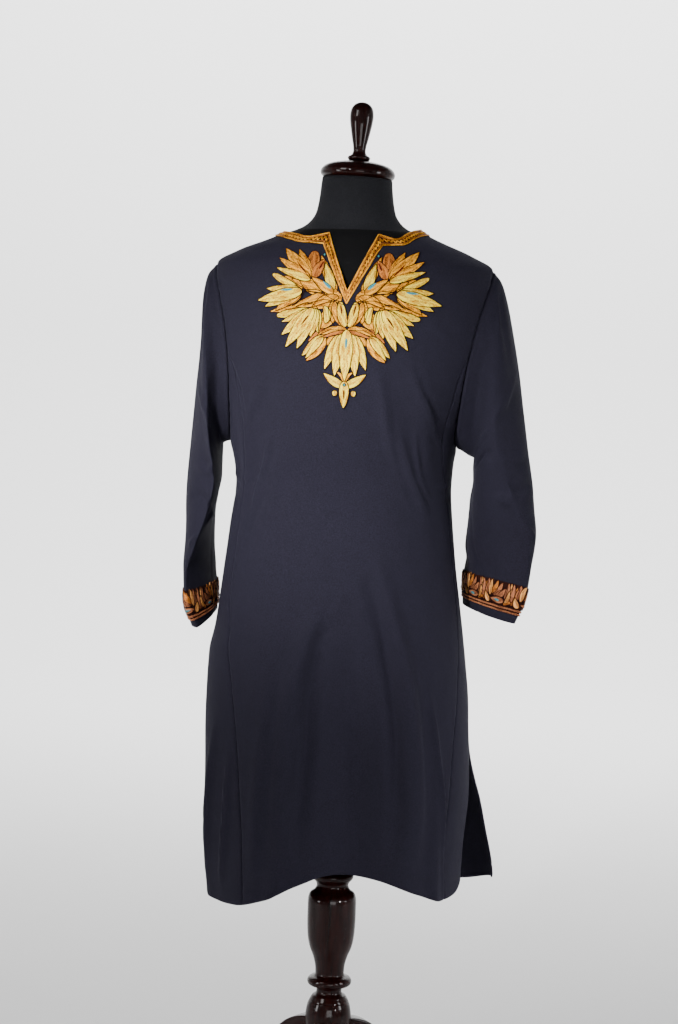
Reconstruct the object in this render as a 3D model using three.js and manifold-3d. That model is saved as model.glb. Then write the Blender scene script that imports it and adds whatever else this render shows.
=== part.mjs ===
// A navy wool pheran with gold thread embroidery, standing on a limbless dress form and its turned stand.
// Millimetres, +Z up, floor at z = 0. The front of the garment faces -Y; +X is the right of the front view.
// The garment is worked out round the stand's upright axis, in angles: 0 at the centre front, 90 at the
// +X side, -90 at the -X side and 180 at the centre back.

import * as THREE from 'three';
import { mergeVertices } from 'three/addons/utils/BufferGeometryUtils.js';
import Module from 'manifold-3d';

const wasm = await Module();
wasm.setup();

// Driving sizes

const CLOTH = 2.0;            // thickness of the wool cloth
const NECK_LEVEL = 1388;      // top of the cloth, at the sides of the neck
const HEM_LEVEL = 385;        // mean height of the hem
const LIFT = 0.6;             // gap under what lies on a panel
const THREAD = 1.3;           // height of the couched thread work
const SEAM = 0.09;            // half of the gap at a lengthwise seam, in degrees round the body
const SHOULDER_SEAM = 0.14;   // and at a shoulder seam
const SLIT_TOP = 620;         // height at which the side seams end and the side slits begin
const SLIT_FLARE = { out: 50, back: 36, reach: 42 }; // swing of the back hem at the +X slit, over degrees
const ARMHOLE = { top: 1329, bottom: 1063, front: 28, back: 25, gap: 0.4, fold: 2.4 };
const V_SLIT = { left: 37, right: 46, top: 1376, bottom: 1289 };
const BAND = { width: 16, inset: 0.6, point: 1267, corner: { out: 8, z: 1356 } };
const CUFF_BAND = { top: 0.87, bottom: 0.975 };     // shares of the sleeve's length
const NECK_LEAN = { z: 1450, over: 12, degrees: 2 }; // the form's neck and cap lean towards +X from here
const FORM_CLEAR = 3.1;       // from the outside of the cloth to the form, where the shoulders carry it
const JOINT_GAP = 0.3;        // between touching pieces of the stand
const CUT_PAST = 20;          // how far a cutting shape runs past what it cuts
const YOKE = { x: 3, side: 52, top: 1358, bottom: 1108, clear: 0.6 }; // x of its middle, side in degrees
const LEGS = { count: 3, width: 29, bevel: 3 };
const HUB = { radius: 35, top: 205.7, bottom: 112, segments: 24 };
const POLE = { radius: 15, foot: 405.3 };
const FORM_FOOT = 655;        // underside of the padded form

// Half widths to either side, depths to front and back, and squareness of the body's level sections
const BODY = [
  { z: 1388, left: 92, right: 97, front: 66, back: 62, square: 2.0 },
  { z: 1380, left: 105, right: 110, front: 72, back: 70, square: 2.0 },
  { z: 1367, left: 134, right: 139, front: 80, back: 82, square: 2.0 },
  { z: 1351, left: 175, right: 177, front: 90, back: 93, square: 2.0 },
  { z: 1329, left: 208, right: 211, front: 102, back: 103, square: 2.1 },
  { z: 1300, left: 212, right: 215, front: 113, back: 110, square: 2.2 },
  { z: 1226, left: 206, right: 208, front: 134, back: 117, square: 2.2 },
  { z: 1140, left: 194, right: 188, front: 148, back: 116, square: 2.2 },
  { z: 1063, left: 178, right: 164, front: 141, back: 108, square: 2.2 },
  { z: 1000, left: 168, right: 159, front: 131, back: 101, square: 2.2 },
  { z: 940, left: 175, right: 164, front: 128, back: 104, square: 2.2 },
  { z: 878, left: 182, right: 171, front: 131, back: 113, square: 2.2 },
  { z: 785, left: 192, right: 184, front: 137, back: 128, square: 2.3 },
  { z: 739, left: 201, right: 190, front: 140, back: 134, square: 2.3 },
  { z: 661, left: 203, right: 198, front: 145, back: 143, square: 2.3 },
  { z: 538, left: 200, right: 203, front: 152, back: 153, square: 2.3 },
  { z: 460, left: 194, right: 197, front: 156, back: 160, square: 2.3 },
  { z: 370, left: 186, right: 194, front: 159, back: 166, square: 2.3 },
];

// Largest folds: angle at the top and at the hem, where they start, are deepest and end (0 = at the hem)
const FOLDS = [
  { top: 3, foot: 9, start: 860, full: 500, end: 0, wide: 15, rise: -24 },
  { top: -6, foot: -19, start: 860, full: 600, end: 0, wide: 7, rise: 9 },
  { top: 20, foot: 36, start: 840, full: 640, end: 0, wide: 9, rise: 8 },
  { top: 47, foot: 52, start: 680, full: 500, end: 0, wide: 5, rise: 6 },
  { top: -64, foot: -72, start: 700, full: 470, end: 0, wide: 8, rise: 7 },
  { top: 24, foot: 60, start: 1230, full: 1110, end: 960, wide: 7, rise: 6 },
  { top: 6, foot: 56, start: 1190, full: 1040, end: 900, wide: 7, rise: 5 },
  { top: -38, foot: -66, start: 1210, full: 1080, end: 900, wide: 7, rise: 5 },
  { top: -20, foot: -60, start: 1100, full: 990, end: 860, wide: 8, rise: 5 },
  { top: 158, foot: 150, start: 900, full: 560, end: 0, wide: 10, rise: -15 },
  { top: -160, foot: -146, start: 860, full: 520, end: 0, wide: 11, rise: -17 },
  { top: 178, foot: 183, start: 800, full: 560, end: 0, wide: 9, rise: 9 },
  { top: 140, foot: 118, start: 1180, full: 1040, end: 900, wide: 9, rise: 5 },
  { top: -142, foot: -120, start: 1150, full: 1020, end: 880, wide: 9, rise: 6 },
];

// Height of the neckline by angle, from the centre back round the -X side to the centre back again
const NECKLINE = [
  { angle: -180, z: 1374 },
  { angle: -120, z: 1377 },
  { angle: -90, z: 1380 },
  { angle: -60, z: 1377 },
  { angle: -42, z: 1373 },
  { angle: -28, z: 1369 },
  { angle: -18, z: 1369 },
  { angle: -12, z: 1376 },
  { angle: 12, z: 1376 },
  { angle: 18, z: 1370 },
  { angle: 28, z: 1369 },
  { angle: 42, z: 1377 },
  { angle: 60, z: 1384 },
  { angle: 90, z: 1388 },
  { angle: 120, z: 1382 },
  { angle: 180, z: 1374 },
];

// Height of the hem by angle, from the centre back round the -X side to the centre back again
const HEM = [
  { angle: -180, z: 386 },
  { angle: -150, z: 384 },
  { angle: -120, z: 380 },
  { angle: -90, z: 378 },
  { angle: -74, z: 374 },
  { angle: -60, z: 372 },
  { angle: -44, z: 374 },
  { angle: -25, z: 389 },
  { angle: -10, z: 414 },
  { angle: 4, z: 430 },
  { angle: 20, z: 425 },
  { angle: 40, z: 405 },
  { angle: 58, z: 390 },
  { angle: 72, z: 392 },
  { angle: 90, z: 402 },
  { angle: 120, z: 386 },
  { angle: 150, z: 384 },
  { angle: 180, z: 386 },
];

// Angle of the four lengthwise seams by height
const SEAMS = [
  { z: 1196, frontLeft: -61.2, frontRight: 61.2, backLeft: -115.8, backRight: 115.8 },
  { z: 1159, frontLeft: -56, frontRight: 58, backLeft: -121, backRight: 121 },
  { z: 1094, frontLeft: -52, frontRight: 59, backLeft: -126, backRight: 124 },
  { z: 972, frontLeft: -60, frontRight: 74, backLeft: -122, backRight: 118 },
  { z: 857, frontLeft: -61, frontRight: 77, backLeft: -121, backRight: 118 },
  { z: 773, frontLeft: -54, frontRight: 74, backLeft: -123, backRight: 119 },
  { z: 690, frontLeft: -46, frontRight: 67, backLeft: -127, backRight: 121 },
  { z: 590, frontLeft: -40, frontRight: 60, backLeft: -131, backRight: 123 },
  { z: 480, frontLeft: -37, frontRight: 57, backLeft: -133, backRight: 124 },
  { z: 380, frontLeft: -38, frontRight: 62, backLeft: -133, backRight: 124 },
];

// Sleeve sections: x runs outwards from the body. Each has a point on the outer side, at the front fold,
// on the inner side and at the back fold, and how sharply it is folded at front and back (1 = round).
const SLEEVE_LEFT = [
  { outer: [221, 0, 1312], front: [196, -66, 1186], inner: [192, 0, 1055], back: [196, 61, 1186], fold: 1 },
  { outer: [227, 0, 1276], front: [206, -78, 1150], inner: [194, 0, 1044], back: [206, 70, 1150], fold: 1 },
  { outer: [229, 0, 1216], front: [206, -84, 1105], inner: [193, 0, 1028], back: [210, 77, 1105], fold: 1.15 },
  { outer: [235, 0, 1140], front: [201, -82, 1055], inner: [192, 0, 1005], back: [212, 77, 1055], fold: 1.3 },
  { outer: [241, 2, 1060], front: [194, -74, 1002], inner: [196, 2, 978], back: [214, 75, 1003], fold: 1.4 },
  { outer: [245, 4, 985], front: [206, -68, 945], inner: [202, 4, 943], back: [213, 71, 948], fold: 1.4 },
  { outer: [242, 4, 925], front: [222, -67, 898], inner: [205, 6, 903], back: [213, 66, 903], fold: 1.4 },
  { outer: [238, 0, 872], front: [232, -66, 860], inner: [204, 4, 866], back: [209, 62, 868], fold: 1.4 },
  { outer: [234, -2, 824], front: [230, -66, 820], inner: [199, -2, 832], back: [207, 58, 836], fold: 1.35 },
  { outer: [228, -4, 788], front: [213, -64, 779], inner: [196, -4, 796], back: [204, 56, 802], fold: 1.3 },
];
const SLEEVE_RIGHT = [
  { outer: [223, 0, 1313], front: [198, -67, 1186], inner: [184, 0, 1051], back: [198, 61, 1186], fold: 1 },
  { outer: [234, 0, 1281], front: [212, -82, 1150], inner: [192, 0, 1047], back: [211, 72, 1150], fold: 1 },
  { outer: [247, 0, 1222], front: [221, -88, 1105], inner: [191, 0, 1036], back: [218, 80, 1105], fold: 1.15 },
  { outer: [258, 0, 1160], front: [228, -84, 1062], inner: [192, 0, 1014], back: [220, 80, 1060], fold: 1.3 },
  { outer: [269, 0, 1075], front: [246, -76, 1015], inner: [190, 0, 982], back: [214, 76, 1010], fold: 1.4 },
  { outer: [277, 2, 1000], front: [263, -70, 968], inner: [192, 2, 948], back: [207, 70, 965], fold: 1.4 },
  { outer: [274, 4, 938], front: [280, -61, 925], inner: [196, 0, 912], back: [199, 62, 918], fold: 1.4 },
  { outer: [260, 14, 882], front: [279, -50, 876], inner: [207, -6, 882], back: [188, 56, 888], fold: 1.4 },
  { outer: [249, 18, 846], front: [275, -45, 842], inner: [208, -8, 850], back: [183, 58, 858], fold: 1.35 },
  { outer: [238, 22, 810], front: [262, -42, 803], inner: [206, -6, 815], back: [183, 60, 824], fold: 1.3 },
];

// Grid spacing of the cloth: shares between neckline and armhole, armhole angles, heights, skirt shares
const NECK_ROWS = [0, 0.12, 0.27, 0.47, 0.72];
const ARM_ANGLES = [0, 20, 38, 56, 74, 90, 106, 122, 140, 160, 180];
const TRUNK_ROWS = [1032, 1000, 965, 925, 880, 835, 790, 745, 700, 660, 620];
const SKIRT_ROWS = [0.17, 0.34, 0.51, 0.68, 0.84, 1];
const SLEEVE_ROWS = [0, 0.02, 0.1, 0.2, 0.3, 0.4, 0.5, 0.59, 0.68, 0.75, 0.81, 0.87, 0.925, 0.975, 1];

// Colours

const NAVY = new THREE.MeshStandardMaterial({ color: 0x1d1e33, roughness: 0.9, metalness: 0 });
const GOLD = new THREE.MeshStandardMaterial({ color: 0xd9a862, roughness: 0.55, metalness: 0.1 });
const COPPER = new THREE.MeshStandardMaterial({ color: 0xb9743c, roughness: 0.6, metalness: 0.1 });
const FORM_CLOTH = new THREE.MeshStandardMaterial({ color: 0x16161a, roughness: 0.85, metalness: 0 });
const WOOD = new THREE.MeshStandardMaterial({ color: 0x3a0f10, roughness: 0.2, metalness: 0 });

// Small sums

const radians = (degrees) => (degrees * Math.PI) / 180;
const mix = (a, b, share) => a + (b - a) * share;

function ease(share) {
  const t = Math.min(1, Math.max(0, share));
  return t * t * (3 - 2 * t);
}

// Smooth value of one column of a table at a place along its key column
function read(rows, key, at, column) {
  const turn = Math.sign(rows[1][key] - rows[0][key]);
  const last = rows.length - 1;
  let i = 0;
  while (i < last - 1 && (rows[i + 1][key] - at) * turn < 0) i += 1;
  const slope = (a, b) => (rows[b][column] - rows[a][column]) / (rows[b][key] - rows[a][key]);
  const span = rows[i + 1][key] - rows[i][key];
  const t = Math.min(1, Math.max(0, (at - rows[i][key]) / span));
  const here = slope(i, i + 1);
  const soft = (a, b) => (a * b <= 0 ? 0 : (2 * a * b) / (a + b));
  const before = i > 0 ? soft(slope(i - 1, i), here) : here;
  const after = i < last - 1 ? soft(here, slope(i + 1, i + 2)) : here;
  const h = t * t * (3 - 2 * t);
  return mix(rows[i][column], rows[i + 1][column], h)
    + span * (before * t * (1 - t) * (1 - t) - after * t * t * (1 - t));
}

// The body of the garment

const turnOf = (angle) => angle - 360 * Math.ceil((angle - 180) / 360);
const neckHeight = (angle) => read(NECKLINE, 'angle', turnOf(angle), 'z');
const hemHeight = (angle) => read(HEM, 'angle', turnOf(angle), 'z');

function foldRise(angle, z) {
  let rise = 0;
  for (const fold of FOLDS) {
    const foot = fold.end > 0 ? fold.end : HEM_LEVEL;
    const along = (fold.start - z) / (fold.start - foot);
    if (along <= 0 || (fold.end > 0 && along >= 1)) continue;
    let strength = ease((fold.start - z) / (fold.start - fold.full));
    if (fold.end > 0) strength *= ease((z - fold.end) / (fold.full - fold.end));
    let off = angle - mix(fold.top, fold.foot, along);
    off -= 360 * Math.round(off / 360);
    rise += fold.rise * strength * Math.exp(-((off / fold.wide) ** 2));
  }
  return rise;
}

// A point on the outside of the cloth. At 90 degrees below the slit's top, the side tells front from back.
function bodyPoint(angle, z, side = Math.abs(angle) > 90 ? 'back' : 'front') {
  const a = radians(angle);
  const halfWidth = read(BODY, 'z', z, Math.sin(a) < 0 ? 'left' : 'right');
  const depth = read(BODY, 'z', z, Math.cos(a) < 0 ? 'back' : 'front');
  const power = 2 / read(BODY, 'z', z, 'square');
  const bend = (value) => Math.sign(value) * Math.abs(value) ** power;
  const point = new THREE.Vector3(halfWidth * bend(Math.sin(a)), -depth * bend(Math.cos(a)), z);
  const away = new THREE.Vector3(Math.sin(a) / halfWidth, -Math.cos(a) / depth, 0).normalize();
  point.addScaledVector(away, foldRise(angle, z));
  const past = (angle - 90) / SLIT_FLARE.reach;
  if (side === 'back' && past > -0.1 && past < 1 && z < SLIT_TOP) {
    const swing = ease((SLIT_TOP - z) / (SLIT_TOP - HEM_LEVEL)) * (1 - ease(past));
    point.x += SLIT_FLARE.out * swing;
    point.y += SLIT_FLARE.back * swing;
  }
  return point;
}

// The direction straight out of the cloth
function bodyNormal(angle, z, side) {
  const step = 0.6;
  const acrossA = bodyPoint(angle - step, z, side);
  const across = bodyPoint(angle + step, z, side).sub(acrossA);
  const downA = bodyPoint(angle, z + 1, side);
  const down = bodyPoint(angle, z - 1, side).sub(downA);
  return down.cross(across).normalize();
}

// Angle of the armhole's edge at a height, on the front or the back
function armholeAngle(z, span) {
  const middle = (ARMHOLE.top + ARMHOLE.bottom) / 2;
  const share = Math.min(1, Math.abs(z - middle) / (ARMHOLE.top - middle));
  return 90 - span * Math.sqrt(1 - share * share);
}

// Meshes from grids

function solidFrom(positions, triangles) {
  const geometry = new THREE.BufferGeometry();
  geometry.setAttribute('position', new THREE.Float32BufferAttribute(positions, 3));
  geometry.setIndex(triangles);
  geometry.computeVertexNormals();
  return geometry;
}

// A closed wall between two grids of points: rows run down, columns run towards +X as seen from the front
function wall(outer, inner, ring = false) {
  const rows = outer.length;
  const columns = outer[0].length;
  const positions = [];
  const triangles = [];
  for (const grid of [outer, inner]) {
    for (const row of grid) {
      for (const point of row) positions.push(point.x, point.y, point.z);
    }
  }
  const out = (r, c) => r * columns + (c % columns);
  const inn = (r, c) => rows * columns + out(r, c);
  const quad = (a, b, c, d) => triangles.push(a, b, c, a, c, d);
  const spans = ring ? columns : columns - 1;
  for (let r = 0; r < rows - 1; r += 1) {
    for (let c = 0; c < spans; c += 1) {
      quad(out(r, c), out(r + 1, c), out(r + 1, c + 1), out(r, c + 1));
      quad(inn(r, c), inn(r, c + 1), inn(r + 1, c + 1), inn(r + 1, c));
    }
    if (!ring) {
      quad(out(r, 0), inn(r, 0), inn(r + 1, 0), out(r + 1, 0));
      quad(out(r, spans), out(r + 1, spans), inn(r + 1, spans), inn(r, spans));
    }
  }
  for (let c = 0; c < spans; c += 1) {
    quad(out(0, c), out(0, c + 1), inn(0, c + 1), inn(0, c));
    quad(out(rows - 1, c), inn(rows - 1, c), inn(rows - 1, c + 1), out(rows - 1, c + 1));
  }
  return solidFrom(positions, triangles);
}

// A closed solid through level rings, with a flat cap at each end
function stack(rings) {
  const count = rings[0].length;
  const positions = [];
  const triangles = [];
  for (const ring of rings) {
    for (const point of ring) positions.push(point.x, point.y, point.z);
  }
  const at = (r, c) => r * count + (c % count);
  for (let r = 0; r < rings.length - 1; r += 1) {
    for (let c = 0; c < count; c += 1) {
      triangles.push(at(r, c), at(r + 1, c), at(r + 1, c + 1));
      triangles.push(at(r, c), at(r + 1, c + 1), at(r, c + 1));
    }
  }
  for (const [r, flip] of [[0, false], [rings.length - 1, true]]) {
    const centre = positions.length / 3;
    const middle = rings[r].reduce((sum, point) => sum.add(point), new THREE.Vector3()).divideScalar(count);
    positions.push(middle.x, middle.y, middle.z);
    for (let c = 0; c < count; c += 1) {
      if (flip) triangles.push(centre, at(r, c + 1), at(r, c));
      else triangles.push(centre, at(r, c), at(r, c + 1));
    }
  }
  return solidFrom(positions, triangles);
}

function toManifold(geometry) {
  const bare = geometry.clone();
  bare.deleteAttribute('normal');
  bare.deleteAttribute('uv');
  const merged = mergeVertices(bare, 1e-4);
  return new wasm.Manifold(new wasm.Mesh({
    numProp: 3,
    vertProperties: new Float32Array(merged.attributes.position.array),
    triVerts: new Uint32Array(merged.index.array),
  }));
}

function fromManifold(solid) {
  const mesh = solid.getMesh();
  return solidFrom(Array.from(mesh.vertProperties), Array.from(mesh.triVerts));
}

// An outline in x and z, pushed through the cloth from front to back
function frontPrism(outline) {
  const shape = new THREE.Shape(outline.map(([x, z]) => new THREE.Vector2(x, z)));
  const prism = new THREE.ExtrudeGeometry(shape, { depth: 220, bevelEnabled: false });
  prism.rotateX(Math.PI / 2);
  prism.translate(0, -CUT_PAST, 0);
  return toManifold(prism);
}

// Panels

const ARM_ROWS = ARM_ANGLES.map((angle) => {
  const middle = (ARMHOLE.top + ARMHOLE.bottom) / 2;
  return middle + (ARMHOLE.top - middle) * Math.cos(radians(angle));
});

// Each row has a nominal height, for its seams, and a height at each angle
const ROWS = [
  ...NECK_ROWS.map((share) => ({
    z: mix(NECK_LEVEL, ARMHOLE.top, share),
    at: (angle) => mix(neckHeight(angle), ARMHOLE.top, share),
  })),
  ...[...ARM_ROWS, ...TRUNK_ROWS].map((z) => ({ z, at: () => z })),
  ...SKIRT_ROWS.map((share) => ({
    z: mix(SLIT_TOP, HEM_LEVEL, share),
    at: (angle) => mix(SLIT_TOP, hemHeight(angle), share),
  })),
];
const GORE_ROW = NECK_ROWS.length + ARM_ANGLES.indexOf(90);

function panel(from, leftEdge, rightEdge, columns, side) {
  const outer = [];
  const inner = [];
  for (const row of ROWS.slice(from)) {
    const left = leftEdge(row.z);
    const right = rightEdge(row.z);
    const line = [];
    for (let c = 0; c <= columns; c += 1) {
      const angle = mix(left, right, c / columns);
      line.push([angle, row.at(angle)]);
    }
    outer.push(line.map(([angle, z]) => bodyPoint(angle, z, side)));
    inner.push(line.map(([angle, z]) => bodyPoint(angle, z, side)
      .addScaledVector(bodyNormal(angle, z, side), -CLOTH)));
  }
  return wall(outer, inner);
}

const seamAngle = (z, name) => read(SEAMS, 'z', z, name);
const goreTop = ARM_ROWS[ARM_ANGLES.indexOf(90)];

// Edge of a centre panel: the shoulder seam, then the armhole, then the lengthwise seam
function centreEdge(z, span, name) {
  if (z >= ARMHOLE.top) return 90 - SHOULDER_SEAM;
  if (z > goreTop + 1) return armholeAngle(z, span);
  return Math.abs(seamAngle(z, name)) - SEAM;
}

function frontPanel() {
  const left = (z) => -centreEdge(z, ARMHOLE.front, 'frontLeft');
  const right = (z) => centreEdge(z, ARMHOLE.front, 'frontRight');
  const cloth = toManifold(panel(0, left, right, 18, 'front'));
  const { left: slitLeft, right: slitRight, top, bottom } = V_SLIT;
  const over = 1 + CUT_PAST / (top - bottom);
  const cut = frontPrism([
    [-slitLeft * over, top + CUT_PAST], [0, bottom], [slitRight * over, top + CUT_PAST],
  ]);
  return fromManifold(cloth.subtract(cut));
}

function backEdge(z, name) {
  if (z >= ARMHOLE.top) return 90 + SHOULDER_SEAM;
  if (z > goreTop + 1) return 180 - armholeAngle(z, ARMHOLE.back);
  return Math.abs(seamAngle(z, name)) + SEAM;
}

function backPanel() {
  const left = (z) => backEdge(z, 'backRight');
  const right = (z) => 360 - backEdge(z, 'backLeft');
  return panel(0, left, right, 16, 'back');
}

// A gore runs from a centre panel's seam to the armhole and, below it, to the side seam
function frontGore(sign, name) {
  const seam = (z) => Math.abs(seamAngle(z, name)) + SEAM;
  const free = (z) => (z > ARMHOLE.bottom ? armholeAngle(z, ARMHOLE.front) : 90) - SEAM;
  if (sign > 0) return panel(GORE_ROW, seam, free, 5, 'front');
  return panel(GORE_ROW, (z) => -free(z), (z) => -seam(z), 5, 'front');
}

function backGore(sign, name) {
  const seam = (z) => Math.abs(seamAngle(z, name)) - SEAM;
  const free = (z) => (z > ARMHOLE.bottom ? 180 - armholeAngle(z, ARMHOLE.back) : 90) + SEAM;
  if (sign > 0) return panel(GORE_ROW, free, seam, 5, 'back');
  return panel(GORE_ROW, (z) => 360 - seam(z), (z) => 360 - free(z), 5, 'back');
}

// Sleeves

const AROUND = [...ARM_ANGLES, ...ARM_ANGLES.slice(1, -1).reverse().map((angle) => 360 - angle)];

// The armhole's edge, drawn in by a gap, for an angle that runs from the top over the front to the bottom
function armholeEdge(sign, angle, gap) {
  const middle = (ARMHOLE.top + ARMHOLE.bottom) / 2;
  const half = (ARMHOLE.top - ARMHOLE.bottom) / 2 - gap;
  const front = Math.sin(radians(angle)) >= 0;
  const span = (front ? ARMHOLE.front : ARMHOLE.back) - gap * 0.4;
  const round = 90 - span * Math.sin(radians(angle));
  const z = middle + half * Math.cos(radians(angle));
  return { angle: sign * round, z, side: front ? 'front' : 'back' };
}

function sleevePoint(sign, rows, angle, along) {
  const start = [0, 90, 180, 270].map((a) => {
    const edge = armholeEdge(sign, a, ARMHOLE.gap);
    const point = bodyPoint(edge.angle, edge.z, edge.side);
    return [point.x * sign, point.y, point.z];
  });
  const first = { outer: start[0], front: start[1], inner: start[2], back: start[3], fold: 1 };
  const sections = [first, ...rows].map((row, i) => ({
    row: i,
    fold: row.fold,
    ...Object.fromEntries(['outer', 'front', 'inner', 'back'].flatMap((name) => (
      [0, 1, 2].map((axis) => [name + axis, row[name][axis]])))),
  }));
  const place = along * rows.length;
  const corner = (name) => new THREE.Vector3(...[0, 1, 2].map((axis) => (
    read(sections, 'row', place, name + axis))));
  const fold = read(sections, 'row', place, 'fold');
  const front = corner('front');
  const back = corner('back');
  const centre = front.clone().add(back).multiplyScalar(0.5);
  const c = Math.cos(radians(angle));
  const s = Math.sin(radians(angle));
  const across = corner(c >= 0 ? 'outer' : 'inner').sub(centre);
  const tip = (s >= 0 ? front : back).clone().sub(centre);
  const point = centre.addScaledVector(across, Math.abs(c) ** fold).addScaledVector(tip, Math.abs(s));
  point.x *= sign;
  return point;
}

// Near the body the sleeve's rings pass over from the armhole's own curve
function sleeveSurface(sign, rows, angle, along) {
  const point = sleevePoint(sign, rows, angle, along);
  const settle = 1 - ease(along * rows.length / 1.5);
  if (settle > 0) {
    const edge = armholeEdge(sign, angle, ARMHOLE.gap);
    const seam = bodyPoint(edge.angle, edge.z, edge.side);
    point.addScaledVector(seam.sub(sleevePoint(sign, rows, angle, 0)), settle);
  }
  return point;
}

function sleeveNormal(sign, rows, angle, along) {
  const step = 0.004;
  const from = Math.min(1 - step, Math.max(step, along));
  const down = sleeveSurface(sign, rows, angle, from + step)
    .sub(sleeveSurface(sign, rows, angle, from - step));
  const round = sleeveSurface(sign, rows, angle + 6, along)
    .sub(sleeveSurface(sign, rows, angle - 6, along));
  return down.cross(round).multiplyScalar(-sign).normalize();
}

// A ring of the sleeve, moved out from its outer face
function sleeveRing(sign, rows, along, out) {
  const order = sign > 0 ? [...AROUND].reverse() : AROUND;
  return order.map((angle) => sleeveSurface(sign, rows, angle, along)
    .addScaledVector(sleeveNormal(sign, rows, angle, along), out));
}

function sleeve(sign, rows) {
  const order = sign > 0 ? [...AROUND].reverse() : AROUND;
  const outer = SLEEVE_ROWS.map((along) => sleeveRing(sign, rows, along, 0));
  const inner = SLEEVE_ROWS.map((along) => sleeveRing(sign, rows, along, -CLOTH));
  // At the armhole the sleeve's cut edge faces the panels' cut edges, standing clear of them at the underarm
  inner[0] = order.map((angle) => {
    const fold = ARMHOLE.gap + (ARMHOLE.fold * (1 - Math.cos(radians(angle)))) / 2;
    const edge = armholeEdge(sign, angle, fold);
    return bodyPoint(edge.angle, edge.z, edge.side)
      .addScaledVector(bodyNormal(edge.angle, edge.z, edge.side), -CLOTH);
  });
  return wall(outer, inner, true);
}

function cuffBand(sign, rows) {
  const places = SLEEVE_ROWS.filter((along) => along >= CUFF_BAND.top && along <= CUFF_BAND.bottom);
  const outer = places.map((along) => sleeveRing(sign, rows, along, LIFT + THREAD));
  const inner = places.map((along) => sleeveRing(sign, rows, along, LIFT));
  return wall(outer, inner, true);
}

// The band round the neck

// Angle of the point of the front that shows at x, seen straight from the front
function frontAngle(x, z) {
  const halfWidth = read(BODY, 'z', z, x < 0 ? 'left' : 'right');
  const share = (Math.abs(x) / halfWidth) ** (read(BODY, 'z', z, 'square') / 2);
  return (Math.sign(x) * Math.asin(Math.min(1, share)) * 180) / Math.PI;
}

// Walks down the cloth from a height until the band's width is used up
function heightBelow(angle, z, width) {
  const step = 0.5;
  let at = z;
  let used = 0;
  while (used < width) {
    used += bodyPoint(angle, at).distanceTo(bodyPoint(angle, at - step));
    at -= step;
  }
  return at;
}

// One place along the band: the points of its upper and lower edges, as angle and height
function neckStation(angle) {
  const top = neckHeight(angle) - BAND.inset;
  return { top: [angle, top], low: [angle, heightBelow(angle, top, BAND.width)] };
}

function slitStation(sign, share) {
  const half = sign < 0 ? V_SLIT.left : V_SLIT.right;
  const topX = mix(0, half, share) + BAND.inset;
  const topZ = mix(V_SLIT.bottom - 1, V_SLIT.top - BAND.inset, share);
  const lowX = mix(0, half + BAND.corner.out, share);
  const lowZ = mix(BAND.point, BAND.corner.z, share);
  return {
    top: [sign * frontAngle(topX, topZ), topZ],
    low: [sign * frontAngle(lowX, lowZ), lowZ],
  };
}

function neckBand() {
  const legShares = [0.2, 0.4, 0.6, 0.8, 1];
  const neckAngles = [27, 36, 45, 54, 63, 72, 81, 90, 101.25, 112.5, 123.75, 135, 146.25, 157.5, 168.75];
  const bottom = { top: [0, V_SLIT.bottom - 1], low: [0, BAND.point] };
  const stations = [
    ...neckAngles.map((angle) => neckStation(-angle)).reverse(),
    ...legShares.map((share) => slitStation(-1, share)).reverse(),
    bottom,
    ...legShares.map((share) => slitStation(1, share)),
    ...neckAngles.map((angle) => neckStation(angle)),
    neckStation(180),
  ];
  const grid = (out) => [0, 0.5, 1].map((share) => stations.map(({ top, low }) => {
    const angle = mix(top[0], low[0], share);
    const z = mix(top[1], low[1], share);
    return bodyPoint(angle, z).addScaledVector(bodyNormal(angle, z), out);
  }));
  return wall(grid(LIFT + THREAD), grid(LIFT), true);
}

// The yoke's embroidery: flowers and leaves either side of a middle line, mirrored

const turned = (x, z, aim, along, across) => {
  const a = radians(aim);
  return [x + along * Math.cos(a) - across * Math.sin(a), z + along * Math.sin(a) + across * Math.cos(a)];
};

// A flower seen from the side: pointed petals spread from a round heel
function flower({ x, z, aim, reach, petals, spread, heel }) {
  const outline = [];
  for (let i = 0; i < petals; i += 1) {
    const place = i / (petals - 1) - 0.5;
    const length = reach * (1 - 0.9 * place * place);
    outline.push(turned(x, z, aim + spread * place, length, 0));
    if (i < petals - 1) {
      const gap = place + 0.5 / (petals - 1);
      outline.push(turned(x, z, aim + spread * gap, reach * 0.74 * (1 - 0.7 * gap * gap), 0));
    }
  }
  outline.push(turned(x, z, aim, reach * 0.3, heel));
  outline.push(turned(x, z, aim, -2, heel * 0.4));
  outline.push(turned(x, z, aim, -2, -heel * 0.4));
  outline.push(turned(x, z, aim, reach * 0.3, -heel));
  return outline;
}

// A leaf or bud: two even curves between pointed ends
function leaf({ x, z, aim, length, width }) {
  const shares = [0.2, 0.5, 0.8];
  const half = (share) => (width * Math.sin(Math.PI * share)) / 2;
  const side = (sign, share) => turned(x, z, aim, length * share, sign * half(share));
  return [
    [x, z],
    ...shares.map((share) => side(-1, share)),
    turned(x, z, aim, length, 0),
    ...shares.map((share) => side(1, share)).reverse(),
  ];
}

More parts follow.
